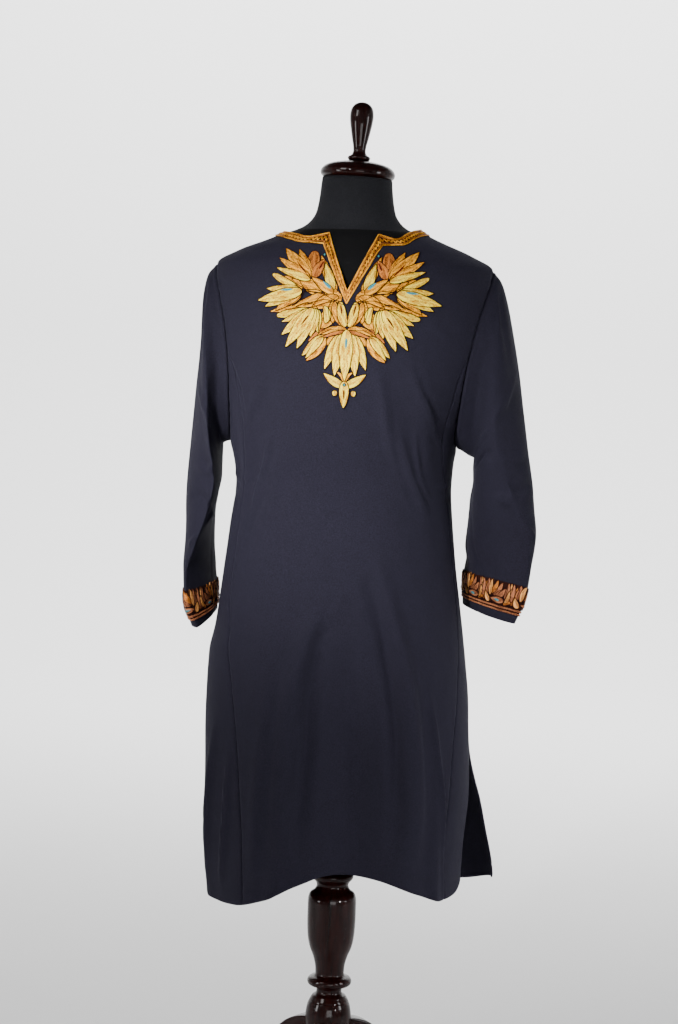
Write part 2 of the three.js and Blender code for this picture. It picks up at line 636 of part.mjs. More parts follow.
// Places run from the middle line outwards; aims are turned from straight out towards up
const FLOWERS = [
  { x: 58, z: 1303, aim: 36, reach: 60, petals: 5, spread: 88, heel: 18 },
  { x: 69, z: 1284, aim: -14, reach: 66, petals: 6, spread: 84, heel: 19 },
  { x: 50, z: 1264, aim: -61, reach: 70, petals: 5, spread: 62, heel: 19 },
];
const MIDDLE_FLOWER = { x: 0, z: 1232, aim: -90, reach: 79, petals: 5, spread: 66, heel: 27 };
const LEAVES = [
  { x: 3, z: 1233, aim: 76, length: 38, width: 22 },
  { x: 8, z: 1262, aim: 20, length: 68, width: 26 },
  { x: 22, z: 1274, aim: 42, length: 52, width: 22 },
  { x: 10, z: 1262, aim: -4, length: 48, width: 26 },
  { x: 45, z: 1296, aim: 84, length: 42, width: 17 },
  { x: 4, z: 1230, aim: 14, length: 48, width: 20 },
  { x: 24, z: 1228, aim: -50, length: 48, width: 26 },
  { x: 0, z: 1149, aim: 27, length: 37, width: 15 },
  { x: 2, z: 1148, aim: -38, length: 19, width: 9 },
];
const MIDDLE_LEAVES = [
  { x: 0, z: 1158, aim: -90, length: 41, width: 16 },
  { x: 0, z: 1280, aim: -90, length: 56, width: 16 },
];

function yokeEmbroidery() {
  const mirrored = [...FLOWERS.map(flower), ...LEAVES.map(leaf)];
  const middle = [flower(MIDDLE_FLOWER), ...MIDDLE_LEAVES.map(leaf)];
  const outlines = [
    ...mirrored.map((outline) => outline.map(([x, z]) => [YOKE.x + x, z])),
    ...mirrored.map((outline) => outline.map(([x, z]) => [YOKE.x - x, z])),
    ...middle.map((outline) => outline.map(([x, z]) => [YOKE.x + x, z])),
  ];
  const shapes = outlines.map((outline) => frontPrism(outline)).reduce((sum, prism) => sum.add(prism));
  const heights = [YOKE.top, mix(YOKE.top, ARMHOLE.top, 0.5)];
  heights.push(...ARM_ROWS.filter((z, i) => i !== 1 && z > YOKE.bottom + 10), YOKE.bottom);
  const columns = 16;
  const grid = (out) => heights.map((z) => Array.from({ length: columns + 1 }, (_, c) => {
    const angle = mix(-YOKE.side, YOKE.side, c / columns);
    return bodyPoint(angle, z).addScaledVector(bodyNormal(angle, z), out);
  }));
  const sheet = toManifold(wall(grid(LIFT + THREAD), grid(LIFT)));
  const left = -V_SLIT.left - BAND.corner.out - YOKE.clear;
  const right = V_SLIT.right + BAND.corner.out + YOKE.clear;
  const above = BAND.corner.z + CUT_PAST;
  const slit = frontPrism([
    [left, above], [left, BAND.corner.z], [0, BAND.point - 2 * YOKE.clear],
    [right, BAND.corner.z], [right, above],
  ]);
  return fromManifold(sheet.intersect(shapes).subtract(slit));
}

// The padded form

// Level sections of the form below the shoulders, and of its neck
const TORSO = [
  { z: FORM_FOOT, half: 150, front: 104, back: 100 },
  { z: 700, half: 165, front: 117, back: 111 },
  { z: 765, half: 170, front: 122, back: 115 },
  { z: 860, half: 156, front: 114, back: 99 },
  { z: 940, half: 144, front: 108, back: 90 },
  { z: 1000, half: 139, front: 109, back: 86 },
  { z: 1063, half: 146, front: 119, back: 92 },
  { z: 1130, half: 160, front: 134, back: 102 },
  { z: 1226, half: 172, front: 120, back: 104 },
  { z: 1290, half: 188, front: 103, back: 100 },
];
const SHOULDERS = [1329, 1346, 1361, 1374];
const NECK = [
  { z: 1386, half: 83, front: 60, back: 57 },
  { z: 1397, half: 68.5, front: 56, back: 55 },
  { z: 1410, half: 60.5, front: 54.5, back: 54 },
  { z: 1432, half: 56, front: 53, back: 53 },
  { z: 1462, half: 53, front: 52, back: 52 },
];
const FORM_ANGLES = Array.from({ length: 24 }, (_, i) => i * 15 - 180);

function leaned(point) {
  const share = ease((point.z - NECK_LEAN.z + NECK_LEAN.over) / (2 * NECK_LEAN.over));
  const pivot = new THREE.Vector3(0, 0, NECK_LEAN.z);
  const turn = radians(NECK_LEAN.degrees) * share;
  return point.sub(pivot).applyAxisAngle(new THREE.Vector3(0, 1, 0), turn).add(pivot);
}

function formBody() {
  const level = (row) => FORM_ANGLES.map((angle) => {
    const a = radians(angle);
    const depth = Math.cos(a) < 0 ? row.back : row.front;
    return leaned(new THREE.Vector3(row.half * Math.sin(a), -depth * Math.cos(a), row.z));
  });
  const carried = (z) => FORM_ANGLES.map((angle) => bodyPoint(angle, z)
    .addScaledVector(bodyNormal(angle, z), -FORM_CLEAR));
  return stack([...TORSO.map(level), ...SHOULDERS.map(carried), ...NECK.map(level)].reverse());
}

// The turned wood, as a radius at each height

const turnedWood = (profile, segments) => new THREE.LatheGeometry(
  profile.map(([radius, z]) => new THREE.Vector2(radius, z)), segments).rotateX(Math.PI / 2);

const CAP = [
  [0, 0], [49, 0], [54.5, 3], [56.5, 8], [54.5, 14], [48, 19.5], [36, 23.5], [22, 26], [0, 26.5],
];
const FINIAL = [
  [0, 0], [11, 0], [14.8, 3], [14.8, 6.5], [10, 10], [7.8, 15], [8.4, 23], [10.2, 32], [13, 46],
  [15.4, 60], [15.9, 69], [14.6, 78], [10.8, 84.5], [5, 88], [0, 89],
];
const POST = [
  [0, 206], [30.2, 206], [29.6, 208], [27.6, 211.5], [25.4, 215], [21, 217.5], [19.3, 221], [20.5, 227],
  [30.5, 231.5], [32.8, 237], [30.5, 242.5], [21.5, 246.5], [20.4, 253], [21.6, 264], [24.8, 276],
  [29.6, 289], [32.8, 304], [34.3, 326], [34.4, 350], [33.8, 366], [31, 373.5], [24, 378], [20.5, 386],
  [22.5, 391], [28, 396], [29, 401], [27, 405], [0, 405],
];
const HUB_PROFILE = [
  [0, HUB.bottom], [12, HUB.bottom], [22, HUB.bottom + 5], [29, HUB.bottom + 12], [33.5, HUB.bottom + 20],
  [HUB.radius, HUB.bottom + 30], [HUB.radius, HUB.top - 20], [34, HUB.top - 12], [32.8, HUB.top - 6],
  [30.6, HUB.top], [0, HUB.top],
];

// A leg's outline as distance from the axis and height: each curve's two handles and its end
const LEG_START = [24, 175];
const LEG_CURVES = [
  { from: [50, 176], towards: [75, 167], end: [98, 133] },
  { from: [122, 98], towards: [156, 44], end: [216, 28] },
  { from: [236, 23], towards: [254, 22], end: [255, 11] },
  { from: [254, 9], towards: [253, 5], end: [251, LEGS.bevel] },
  { from: [240, LEGS.bevel], towards: [228, LEGS.bevel], end: [216, LEGS.bevel] },
  { from: [170, 4], towards: [138, 28], end: [112, 62] },
  { from: [92, 90], towards: [70, 128], end: [24, 130] },
];

// A leg reaches out along x and is cut to the round of the hub
function leg() {
  const b = LEGS.bevel;
  const side = new THREE.Shape();
  side.moveTo(...LEG_START);
  for (const { from, towards, end } of LEG_CURVES) side.bezierCurveTo(...from, ...towards, ...end);
  const solid = new THREE.ExtrudeGeometry(side, {
    depth: LEGS.width - 2 * b,
    curveSegments: 5,
    bevelThickness: b,
    bevelSize: b,
    bevelSegments: 1,
  });
  solid.translate(0, 0, b - LEGS.width / 2);
  solid.rotateX(Math.PI / 2);
  const middle = (HUB.top + HUB.bottom) / 2;
  const socket = turnedWood(HUB_PROFILE.map(([radius, z]) => (
    [radius > 0 ? radius + JOINT_GAP : 0, z + (z > middle ? CUT_PAST : -CUT_PAST)])), HUB.segments);
  return fromManifold(toManifold(solid).subtract(toManifold(socket)));
}

// Assembly

const garment = new THREE.Group();

function piece(name, geometry, material) {
  const mesh = new THREE.Mesh(geometry, material.clone());
  mesh.name = name;
  garment.add(mesh);
  return mesh;
}

piece('front_panel', frontPanel(), NAVY);
piece('back_panel', backPanel(), NAVY);
piece('front_gore_left', frontGore(-1, 'frontLeft'), NAVY);
piece('front_gore_right', frontGore(1, 'frontRight'), NAVY);
piece('back_gore_left', backGore(-1, 'backLeft'), NAVY);
piece('back_gore_right', backGore(1, 'backRight'), NAVY);
piece('sleeve_left', sleeve(-1, SLEEVE_LEFT), NAVY);
piece('sleeve_right', sleeve(1, SLEEVE_RIGHT), NAVY);
piece('cuff_band_left', cuffBand(-1, SLEEVE_LEFT), COPPER);
piece('cuff_band_right', cuffBand(1, SLEEVE_RIGHT), COPPER);
piece('neck_band', neckBand(), COPPER);
piece('yoke_embroidery', yokeEmbroidery(), GOLD);
piece('form_body', formBody(), FORM_CLOTH);
piece('pole', turnedWood([
  [0, POLE.foot], [POLE.radius, POLE.foot], [POLE.radius, FORM_FOOT - JOINT_GAP], [0, FORM_FOOT - JOINT_GAP],
], 20), WOOD);
piece('post', turnedWood(POST, 20), WOOD);
piece('hub', turnedWood(HUB_PROFILE, HUB.segments), WOOD);

const legShape = leg();
for (let i = 0; i < LEGS.count; i += 1) {
  const name = ['leg_front', 'leg_right', 'leg_left'][i];
  piece(name, legShape, WOOD).rotation.z = radians(-90 + (360 / LEGS.count) * i);
}

const head = new THREE.Group();
head.position.z = NECK_LEAN.z;
head.rotation.y = radians(NECK_LEAN.degrees);
const capFoot = NECK.at(-1).z - NECK_LEAN.z + JOINT_GAP;
const cap = piece('neck_cap', turnedWood(CAP, 24), WOOD);
cap.position.z = capFoot;
const finial = piece('finial', turnedWood(FINIAL, 16), WOOD);
finial.position.z = capFoot + CAP.at(-1)[1] + JOINT_GAP;
head.add(cap, finial);
garment.add(head);

// The origin is on the floor, under the middle of the whole
garment.updateMatrixWorld(true);
const bounds = new THREE.Box3().setFromObject(garment, true);
const middle = bounds.getCenter(new THREE.Vector3());
garment.position.set(-middle.x, -middle.y, -bounds.min.z);

export default garment;
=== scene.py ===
# A navy wool pheran with gold thread embroidery, worn by a limbless dress form on a turned wooden stand.
# The front of the dress faces -Y. The cloth is worked out in millimetres round the stand's upright axis, in
# angles: 0 at the centre front, 90 at the +X side, 180 at the centre back.
import math
import bmesh
import bpy
import numpy as np
from mathutils import Matrix, Vector


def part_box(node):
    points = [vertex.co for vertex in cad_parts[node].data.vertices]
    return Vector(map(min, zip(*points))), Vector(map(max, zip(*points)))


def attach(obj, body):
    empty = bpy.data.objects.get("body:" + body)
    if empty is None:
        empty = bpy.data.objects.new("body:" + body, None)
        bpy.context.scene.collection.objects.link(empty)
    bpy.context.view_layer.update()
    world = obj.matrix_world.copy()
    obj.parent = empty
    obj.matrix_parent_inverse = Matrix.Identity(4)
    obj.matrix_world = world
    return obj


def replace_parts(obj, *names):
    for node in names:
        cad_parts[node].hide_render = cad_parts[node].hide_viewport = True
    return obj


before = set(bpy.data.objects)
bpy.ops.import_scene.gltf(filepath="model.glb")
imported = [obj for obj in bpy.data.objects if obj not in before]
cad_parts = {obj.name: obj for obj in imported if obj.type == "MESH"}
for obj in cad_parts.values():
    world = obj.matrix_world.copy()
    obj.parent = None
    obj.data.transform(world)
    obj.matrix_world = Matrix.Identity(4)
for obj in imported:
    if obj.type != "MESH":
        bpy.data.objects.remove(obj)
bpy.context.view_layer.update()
post_low, post_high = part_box("post")
AXIS = np.array([(post_low[0] + post_high[0]) / 2, (post_low[1] + post_high[1]) / 2, 0.0])

# Camera
# It stands 3.3 m in front of the stand, at the height of the waist, looking a little down and tilted 2 degrees.
CAMERA_AWAY, CAMERA_HEIGHT = 3.3, 1.12
turn, pitch, roll = math.radians(4.4), math.radians(2.8), math.radians(2.0)
camera = bpy.data.objects.new("camera", bpy.data.cameras.new("camera"))
bpy.context.collection.objects.link(camera)
bpy.context.scene.camera = camera
camera.data.lens = 76.3
camera.data.sensor_width = 36
camera.data.shift_x = -0.00645
ahead = Vector((-math.sin(turn) * math.cos(pitch), math.cos(turn) * math.cos(pitch), -math.sin(pitch)))
level = Vector((math.cos(turn), math.sin(turn), 0))
above = level.cross(ahead)
right = level * math.cos(roll) + above * math.sin(roll)
up = above * math.cos(roll) - level * math.sin(roll)
camera.matrix_world = Matrix((right, up, -ahead)).transposed().to_4x4()
camera.location = Vector(AXIS) + Vector((CAMERA_AWAY * math.sin(turn), -CAMERA_AWAY * math.cos(turn), CAMERA_HEIGHT))

# Wool cloth
# A soft navy wool twill, a little napped, with lighter fibres mixed in. All eight pieces of the dress are cut
# from it. The slanting ribs and the nap are relief in the weave.
def new_group(name, inputs, outputs):
    group = bpy.data.node_groups.new(name, "ShaderNodeTree")
    for kind, sockets in (("INPUT", inputs), ("OUTPUT", outputs)):
        for socket, form, value in sockets:
            made = group.interface.new_socket(socket, in_out=kind, socket_type="NodeSocket" + form)
            if value is not None:
                made.default_value = value
    return group, group.nodes.new("NodeGroupInput"), group.nodes.new("NodeGroupOutput")


def add_node(tree, kind, settings=None, **inputs):
    node = tree.nodes.new(kind)
    for key, value in (settings or {}).items():
        setattr(node, key, value)
    for key, value in inputs.items():
        socket = node.inputs[int(key[2:]) if key.startswith("in") else key]
        if isinstance(value, bpy.types.NodeSocket):
            tree.links.new(value, socket)
        else:
            socket.default_value = value
    return node


def maths(tree, operation, *values):
    """The result of a Math node."""
    inputs = {f"in{k}": value for k, value in enumerate(values)}
    return add_node(tree, "ShaderNodeMath", {"operation": operation}, **inputs).outputs[0]


def new_material(name, **values):
    """A material whose shader has plain values on its sockets, named with _ for a space."""
    material = bpy.data.materials.new(name)
    material.use_nodes = True
    shader = material.node_tree.nodes["Principled BSDF"]
    for key, value in values.items():
        shader.inputs[key.replace("_", " ")].default_value = value
    return material, material.node_tree, shader


def two_tones(tree, shader, value, low, high, dark, light):
    """Base colour from dark to light, as a value goes from low to high."""
    share = add_node(tree, "ShaderNodeMapRange", in0=value, in1=low, in2=high)
    mixed = add_node(tree, "ShaderNodeMix", {"data_type": "RGBA"}, in0=share.outputs[0], in6=dark, in7=light)
    tree.links.new(mixed.outputs[2], shader.inputs["Base Color"])


TURNS_PER_MM = 6283.0  # a sine's turn for each mm of cloth, in metres of UV
twill, twill_in, twill_out = new_group(
    "Twill weave",
    [("Pitch", "Float", 1.5), ("Strength", "Float", 0.3)],
    [("Fibre", "Float", None), ("Normal", "Vector", None)])
uv_node = add_node(twill, "ShaderNodeUVMap")
in_cloth = add_node(twill, "ShaderNodeTexCoord").outputs["Object"]
cross = add_node(twill, "ShaderNodeSeparateXYZ", in0=uv_node.outputs[0])
slant = maths(twill, "MULTIPLY", maths(twill, "ADD", cross.outputs[0], cross.outputs[1]), TURNS_PER_MM)
rib = maths(twill, "SINE", maths(twill, "DIVIDE", slant, twill_in.outputs["Pitch"]))
nap = add_node(twill, "ShaderNodeTexNoise", Vector=in_cloth, Scale=900.0, Detail=3.0, Roughness=0.7)
mottle = add_node(twill, "ShaderNodeTexNoise", Vector=in_cloth, Scale=520.0, Detail=5.0, Roughness=0.75)
relief = maths(twill, "ADD", maths(twill, "MULTIPLY", rib, 0.22), nap.outputs[0])
bump = add_node(twill, "ShaderNodeBump", Strength=twill_in.outputs["Strength"], Distance=0.0012,
                Height=maths(twill, "ADD", relief, mottle.outputs[0]))
twill.links.new(mottle.outputs[0], twill_out.inputs["Fibre"])
twill.links.new(bump.outputs[0], twill_out.inputs["Normal"])


def cloth_material(name, dark, light, pitch, strength, sheen, tint):
    material, tree, shader = new_material(
        name, Roughness=0.88, Specular_IOR_Level=0.12, Sheen_Weight=sheen, Sheen_Roughness=0.45, Sheen_Tint=tint)
    weave = add_node(tree, "ShaderNodeGroup", {"node_tree": twill}, Pitch=pitch, Strength=strength)
    two_tones(tree, shader, weave.outputs["Fibre"], 0.28, 0.72, dark, light)
    tree.links.new(weave.outputs["Normal"], shader.inputs["Normal"])
    return material


wool = cloth_material("navy wool", (0.0036, 0.0032, 0.0064, 1), (0.0122, 0.0109, 0.0206, 1), 1.5, 0.35, 0.025,
                      (0.62, 0.58, 0.9, 1))

# Body of the dress
# Level sections (z, half width left and right, depth front and back, squareness), the largest folds, the
# neckline, the hem and the four lengthwise seams: the same sizes as in the part's source.
BODY = np.array([
    (1388, 92, 97, 66, 62, 2.0), (1380, 105, 110, 72, 70, 2.0), (1367, 134, 139, 80, 82, 2.0),
    (1351, 175, 177, 90, 93, 2.0), (1329, 208, 211, 102, 103, 2.1), (1300, 212, 215, 113, 110, 2.2),
    (1226, 206, 208, 134, 117, 2.2), (1140, 194, 188, 148, 116, 2.2), (1063, 178, 164, 141, 108, 2.2),
    (1000, 168, 159, 131, 101, 2.2), (940, 175, 164, 128, 104, 2.2), (878, 182, 171, 131, 113, 2.2),
    (785, 192, 184, 137, 128, 2.3), (739, 201, 190, 140, 134, 2.3), (661, 203, 198, 145, 143, 2.3),
    (538, 200, 203, 152, 153, 2.3), (460, 194, 197, 156, 160, 2.3), (370, 186, 194, 159, 166, 2.3)])
FOLDS = [  # angle at top and hem; heights where it starts, is deepest and ends; half width in degrees; rise
    (3, 9, 860, 500, 0, 15, -24), (-6, -19, 860, 600, 0, 7, 9), (20, 36, 840, 640, 0, 9, 8),
    (47, 52, 680, 500, 0, 5, 6), (-64, -72, 700, 470, 0, 8, 7), (24, 60, 1230, 1110, 960, 7, 6),
    (6, 56, 1190, 1040, 900, 7, 5), (-38, -66, 1210, 1080, 900, 7, 5), (-20, -60, 1100, 990, 860, 8, 5),
    (158, 150, 900, 560, 0, 10, -15), (-160, -146, 860, 520, 0, 11, -17), (178, 183, 800, 560, 0, 9, 9),
    (140, 118, 1180, 1040, 900, 9, 5), (-142, -120, 1150, 1020, 880, 9, 6)]
NECKLINE = np.array([(-180, 1374), (-120, 1377), (-90, 1380), (-60, 1377), (-42, 1373), (-28, 1369),
                     (-18, 1369), (-12, 1376), (12, 1376), (18, 1370), (28, 1369), (42, 1377), (60, 1384),
                     (90, 1388), (120, 1382), (180, 1374)])
HEM = np.array([(-180, 386), (-150, 384), (-120, 380), (-90, 378), (-74, 374), (-60, 372), (-44, 374),
                (-25, 389), (-10, 414), (4, 430), (20, 425), (40, 405), (58, 390), (72, 392), (90, 402),
                (120, 386), (150, 384), (180, 386)])
SEAMS = np.array([  # z, front left, front right, back left, back right
    (1196, -61.2, 61.2, -115.8, 115.8), (1159, -56, 58, -121, 121), (1094, -52, 59, -126, 124),
    (972, -60, 74, -122, 118), (857, -61, 77, -121, 118), (773, -54, 74, -123, 119),
    (690, -46, 67, -127, 121), (590, -40, 60, -131, 123), (480, -37, 57, -133, 124),
    (380, -38, 62, -133, 124)])
CLOTH, SHOULDER, HEM_LEVEL, SLIT_TOP = 2.0, 1388, 385, 620
SLIT_OUT, SLIT_BACK, SLIT_REACH = 50, 36, 42  # swing of the back hem at the open slit, and degrees it reaches
MM_PER_DEGREE = 2.9
ARM_TOP, ARM_BOTTOM, ARM_FRONT, ARM_BACK = 1329, 1063, 28, 25
ARM_MIDDLE, ARM_HALF = (ARM_TOP + ARM_BOTTOM) / 2, (ARM_TOP - ARM_BOTTOM) / 2


def smooth(rows, at, column):
    rows = rows if rows[0][0] < rows[-1][0] else rows[::-1]
    keys, values = rows[:, 0], rows[:, column]
    slope = np.diff(values) / np.diff(keys)
    a, b = slope[:-1], slope[1:]
    same = a * b > 0
    between = np.where(same, 2 * a * b / np.where(same, a + b, 1), 0)
    tangent = np.concatenate([slope[:1], between, slope[-1:]])
    at = np.asarray(at, float)
    i = np.clip(np.searchsorted(keys, at) - 1, 0, len(keys) - 2)
    span = keys[i + 1] - keys[i]
    s = np.clip((at - keys[i]) / span, 0, 1)
    h = s * s * (3 - 2 * s)
    return (values[i] * (1 - h) + values[i + 1] * h
            + span * (tangent[i] * s * (1 - s) ** 2 - tangent[i + 1] * s * s * (1 - s)))


def ease(share):
    share = np.clip(share, 0, 1)
    return share * share * (3 - 2 * share)


def wrap(angle):
    return angle - 360 * np.round(angle / 360)


def wander(u, v, seed):
    """Slow uneven ripples from -1 to 1."""
    total = 0
    for k in range(4):
        scale, phase = 1.83 ** k, seed * 2.4 * (k + 1)
        total = total + np.sin(u * scale + phase + 1.4 * np.sin(v * scale * 0.8 - phase)) / scale
    return total / 2.1


# Creases in the cloth: a path of (angle, height) points, half width and height in mm.
CREASES = [
    ([(27.7, 1186), (37.4, 1140), (51, 1096), (60, 1074)], 4, -2.6),
    ([(24.5, 1188), (34, 1142), (47, 1096), (56, 1068)], 5, 2.0),
    ([(12, 1180), (19.1, 1101), (25.2, 1051), (34.4, 1000)], 7, 2.2),
    ([(37, 1085), (39, 1059), (44.6, 1015), (53.5, 985)], 5, 1.9),
    ([(28, 1080), (37.4, 1015), (52.7, 956)], 8, 1.7),
    ([(22, 1080), (31, 1020), (44, 965)], 8, -1.5),
    ([(-30, 1170), (-43, 1116), (-47.5, 1088)], 5, 1.9),
    ([(-32.4, 1086), (-37.7, 1036), (-45.6, 991), (-47, 966)], 6, 2.2),
    ([(-34, 1010), (-44, 955), (-51.5, 905)], 9, -2.0),
    ([(-58.9, 1184), (-52, 1140), (-49, 1104)], 3.5, -1.9),
    ([(-50, 1210), (-38.8, 1227), (-30, 1238)], 6, 1.2),
    ([(48, 1222), (38, 1236), (31, 1250)], 7, 1.2),
    ([(0, 826), (-5, 769), (-6.5, 717), (-7, 629), (-8, 571), (-10, 450)], 8, -5.4),
    ([(-3, 835), (-10, 769), (-14, 717), (-16, 629), (-18, 480)], 13, 4.6),
    ([(20, 890), (27, 780), (31, 722), (34, 634), (38, 470)], 13, 6.2),
    ([(14, 860), (20, 780), (22.5, 722), (25, 634), (27, 460)], 10, -5.6),
    ([(8, 740), (9, 600), (10, 400)], 34, -3.6), ([(-27, 800), (-29, 620), (-33, 400)], 26, 3.6),
    ([(44, 700), (50.4, 587), (54.3, 497), (60, 400)], 4.6, 3.4), ([(48, 640), (54, 540), (59, 420)], 4.5, -2.0),
    ([(-46, 610), (-49.7, 498), (-56.3, 400)], 5.5, 3.4), ([(-60, 640), (-66, 520), (-72, 400)], 8, 2.8),
    ([(3, 845), (-2.8, 791)], 6, 1.4),
    ([(-22, 740), (-26, 600), (-31, 400)], 12, 3.2), ([(6, 760), (8, 600), (10, 440)], 12, -3.0),
    ([(-82, 1016), (-66, 1004), (-52, 1010)], 5, 1.4), ([(82, 1012), (68, 1002), (58, 1006)], 5, 1.4),
    ([(-84, 980), (-70, 985)], 6, -1.3), ([(84, 984), (72, 988)], 6, -1.3),
    ([(118, 1150), (138, 1090), (158, 1010)], 7, 2.2), ([(112, 1110), (130, 1050), (146, 975)], 7, 1.9),
    ([(-118, 1150), (-138, 1095), (-156, 1020)], 7, 2.2), ([(-112, 1105), (-128, 1050), (-150, 960)], 7, 2.0),
    ([(126, 1120), (142, 1060), (155, 990)], 6, -1.6), ([(-126, 1125), (-140, 1060), (-152, 1000)], 6, -1.6),
    ([(170, 1330), (172, 1260), (171, 1190)], 9, 1.4), ([(-168, 1320), (-171, 1250)], 9, 1.2),
    ([(96, 1006), (112, 998), (126, 1006)], 6, 1.4), ([(-96, 1010), (-110, 1000), (-126, 1004)], 6, 1.4),
    ([(166, 840), (160, 700), (156, 520)], 6, -2.6), ([(-166, 850), (-158, 700), (-152, 540)], 6, -2.6),
    ([(176, 620), (174, 400)], 5, 2.2), ([(140, 640), (136, 420)], 6, 2.2), ([(-136, 600), (-134, 400)], 6, 2.2),
]


def crease_rise(across, down, creases):
    """Height of all creases at places given in mm, with paths in mm. A crease stands twice its listed height."""
    rise = np.zeros_like(across)
    for path, wide, high in creases:
        path = np.asarray(path, float)
        lengths = np.hypot(*np.diff(path, axis=0).T)
        near, share = np.full_like(across, 1e9), np.zeros_like(across)
        for k, (a, b) in enumerate(zip(path[:-1], path[1:])):
            run = b - a
            s = np.clip(((across - a[0]) * run[0] + (down - a[1]) * run[1]) / (run @ run), 0, 1)
            far = np.hypot(across - a[0] - s * run[0], down - a[1] - s * run[1])
            closer = far < near
            near = np.where(closer, far, near)
            share = np.where(closer, (lengths[:k].sum() + s * lengths[k]) / lengths.sum(), share)
        rise += 2.0 * high * np.exp(-(near / wide) ** 2) * np.sin(np.pi * np.clip(share, 0.02, 0.98)) ** 0.6
    return rise


def fold_rise(angle, z):
    rise = np.zeros_like(angle)
    for top, foot, start, full, end, wide, high in FOLDS:
        low = end or HEM_LEVEL
        along = (start - z) / (start - low)
        strength = ease((start - z) / (start - full))
        if end:
            strength = strength * ease((z - end) / (full - end)) * (along < 1)
        off = wrap(angle - (top + (foot - top) * along))
        rise += np.where(along > 0, high * strength * np.exp(-(off / wide) ** 2), 0)
    return rise


def body(angle, z, back=None):
    """A point on the outside of the smooth cloth."""
    angle, z = np.broadcast_arrays(np.asarray(angle, float), np.asarray(z, float))
    a = np.radians(angle)
    sine, cosine = np.sin(a), np.cos(a)
    half = np.where(sine < 0, smooth(BODY, z, 1), smooth(BODY, z, 2))
    depth = np.where(cosine < 0, smooth(BODY, z, 4), smooth(BODY, z, 3))
    power = 2 / smooth(BODY, z, 5)
    x = half * np.sign(sine) * np.abs(sine) ** power
    y = -depth * np.sign(cosine) * np.abs(cosine) ** power
    out_x, out_y = sine / half, -cosine / depth
    size = np.hypot(out_x, out_y)
    rise = fold_rise(angle, z)
    x, y = x + rise * out_x / size, y + rise * out_y / size
    if back is None:
        back = np.abs(wrap(angle)) > 90
    past = (wrap(angle) - 90) / SLIT_REACH
    swing = ease((SLIT_TOP - z) / (SLIT_TOP - HEM_LEVEL)) * (1 - ease(past)) * back * (past > -0.1) * (past < 1)
    return np.stack([x + SLIT_OUT * swing, y + SLIT_BACK * swing, z + 0 * x], -1)


def normal(angle, z, back=None):
    across = body(angle + 0.6, z, back) - body(angle - 0.6, z, back)
    down = body(angle, z - 1, back) - body(angle, z + 1, back)
    out = np.cross(down, across)
    return out / np.linalg.norm(out, axis=-1, keepdims=True)


def hem_height(angle):
    return smooth(HEM, wrap(angle), 1)


def cloth_rise(angle, z):
    """Creases, seams and the hem, as a height over the smooth cloth."""
    angle = wrap(angle)
    mm = MM_PER_DEGREE
    rise = crease_rise(angle * mm, z, [([(a * mm, h) for a, h in path], w, high) for path, w, high in CREASES])
    # slow ripples, less over the chest and shoulders
    calm = ease((1250 - z) / 200) * 0.75 + 0.25
    rise += calm * (0.9 * wander(angle / 17, z / 70, 1) + 0.35 * wander(angle / 5, z / 34, 2))
    # lengthwise seams, sunk 1 mm with a pucker either side
    for column in (1, 2, 3, 4):
        seam = smooth(SEAMS, z, column)
        off = wrap(angle - seam) * mm
        here = ease((1205 - z) / 20)
        pucker = np.sin(z / 3.1 + 2 * np.sin(z / 23 + column)) * np.exp(-(off / 8) ** 2)
        rise += here * (-1.0 * np.exp(-(off / 2.2) ** 2) + 0.28 * pucker)
    # side and shoulder seams
    rise += -0.9 * np.exp(-((np.abs(angle) - 90) * mm / 2.2) ** 2) * ((z < ARM_BOTTOM) + (z > ARM_TOP))
    # armhole seam, with the allowance pressed outward
    span = np.where(np.abs(angle) < 90, ARM_FRONT, ARM_BACK)
    round_arm = np.hypot((np.abs(angle) - 90) / span, (z - ARM_MIDDLE) / ARM_HALF)
    off = (round_arm - 1) * 95
    rise += -1.1 * np.exp(-(off / 2.6) ** 2) + 0.7 * np.exp(-((off - 7) / 5) ** 2)
    rise += 0.5 * np.sin(np.arctan2(z - ARM_MIDDLE, (np.abs(angle) - 90) * 4) * 34) * np.exp(-(off / 7) ** 2)
    # stitch line and edge of the hem
    above_hem = z - hem_height(angle)
    return rise - 0.55 * np.exp(-((above_hem - 20) / 1.6) ** 2) - 0.6 * np.exp(-(above_hem / 1.5) ** 2)


def cloth(angle, z, out=0.0, back=None):
    """A point over the creased outside of the cloth."""
    rise = cloth_rise(angle, z) + out
    return body(angle, z, back) + normal(angle, z, back) * rise[..., None]


def neck_height(angle):
    return smooth(NECKLINE, wrap(angle), 1)


def armhole_angle(z, span):
    share = np.minimum(1, np.abs(z - ARM_MIDDLE) / ARM_HALF)
    return 90 - span * np.sqrt(1 - share * share)


# The six panels of the body
# Front and back are cut in one from shoulder to hem; four gores fit the sides, with slits below the hips. All
# are wool cloth 2 mm thick, seamed and turned up at the hem.
V_LEFT, V_RIGHT, V_TOP, V_BOTTOM = 33, 39, 1376, 1289  # 4 and 7 mm narrower than in the part's source
SEAM_GAP, SHOULDER_GAP = 0.09, 0.14  # half of each gap between two pieces, in degrees
arm_z = ARM_MIDDLE + ARM_HALF * np.cos(np.linspace(0, math.pi, 45))
arm_z = np.sort(np.append(arm_z, V_BOTTOM))[::-1]
trunk_z = np.linspace(ARM_BOTTOM, SLIT_TOP, 104)[1:]


def front_angle(x, z):
    """Angle of the point of the front that shows at x, seen straight from the front."""
    half = np.where(np.asarray(x) < 0, smooth(BODY, z, 1), smooth(BODY, z, 2))
    share = (np.abs(x) / half) ** (smooth(BODY, z, 5) / 2)
    return np.degrees(np.sign(x) * np.arcsin(np.minimum(1, share)))


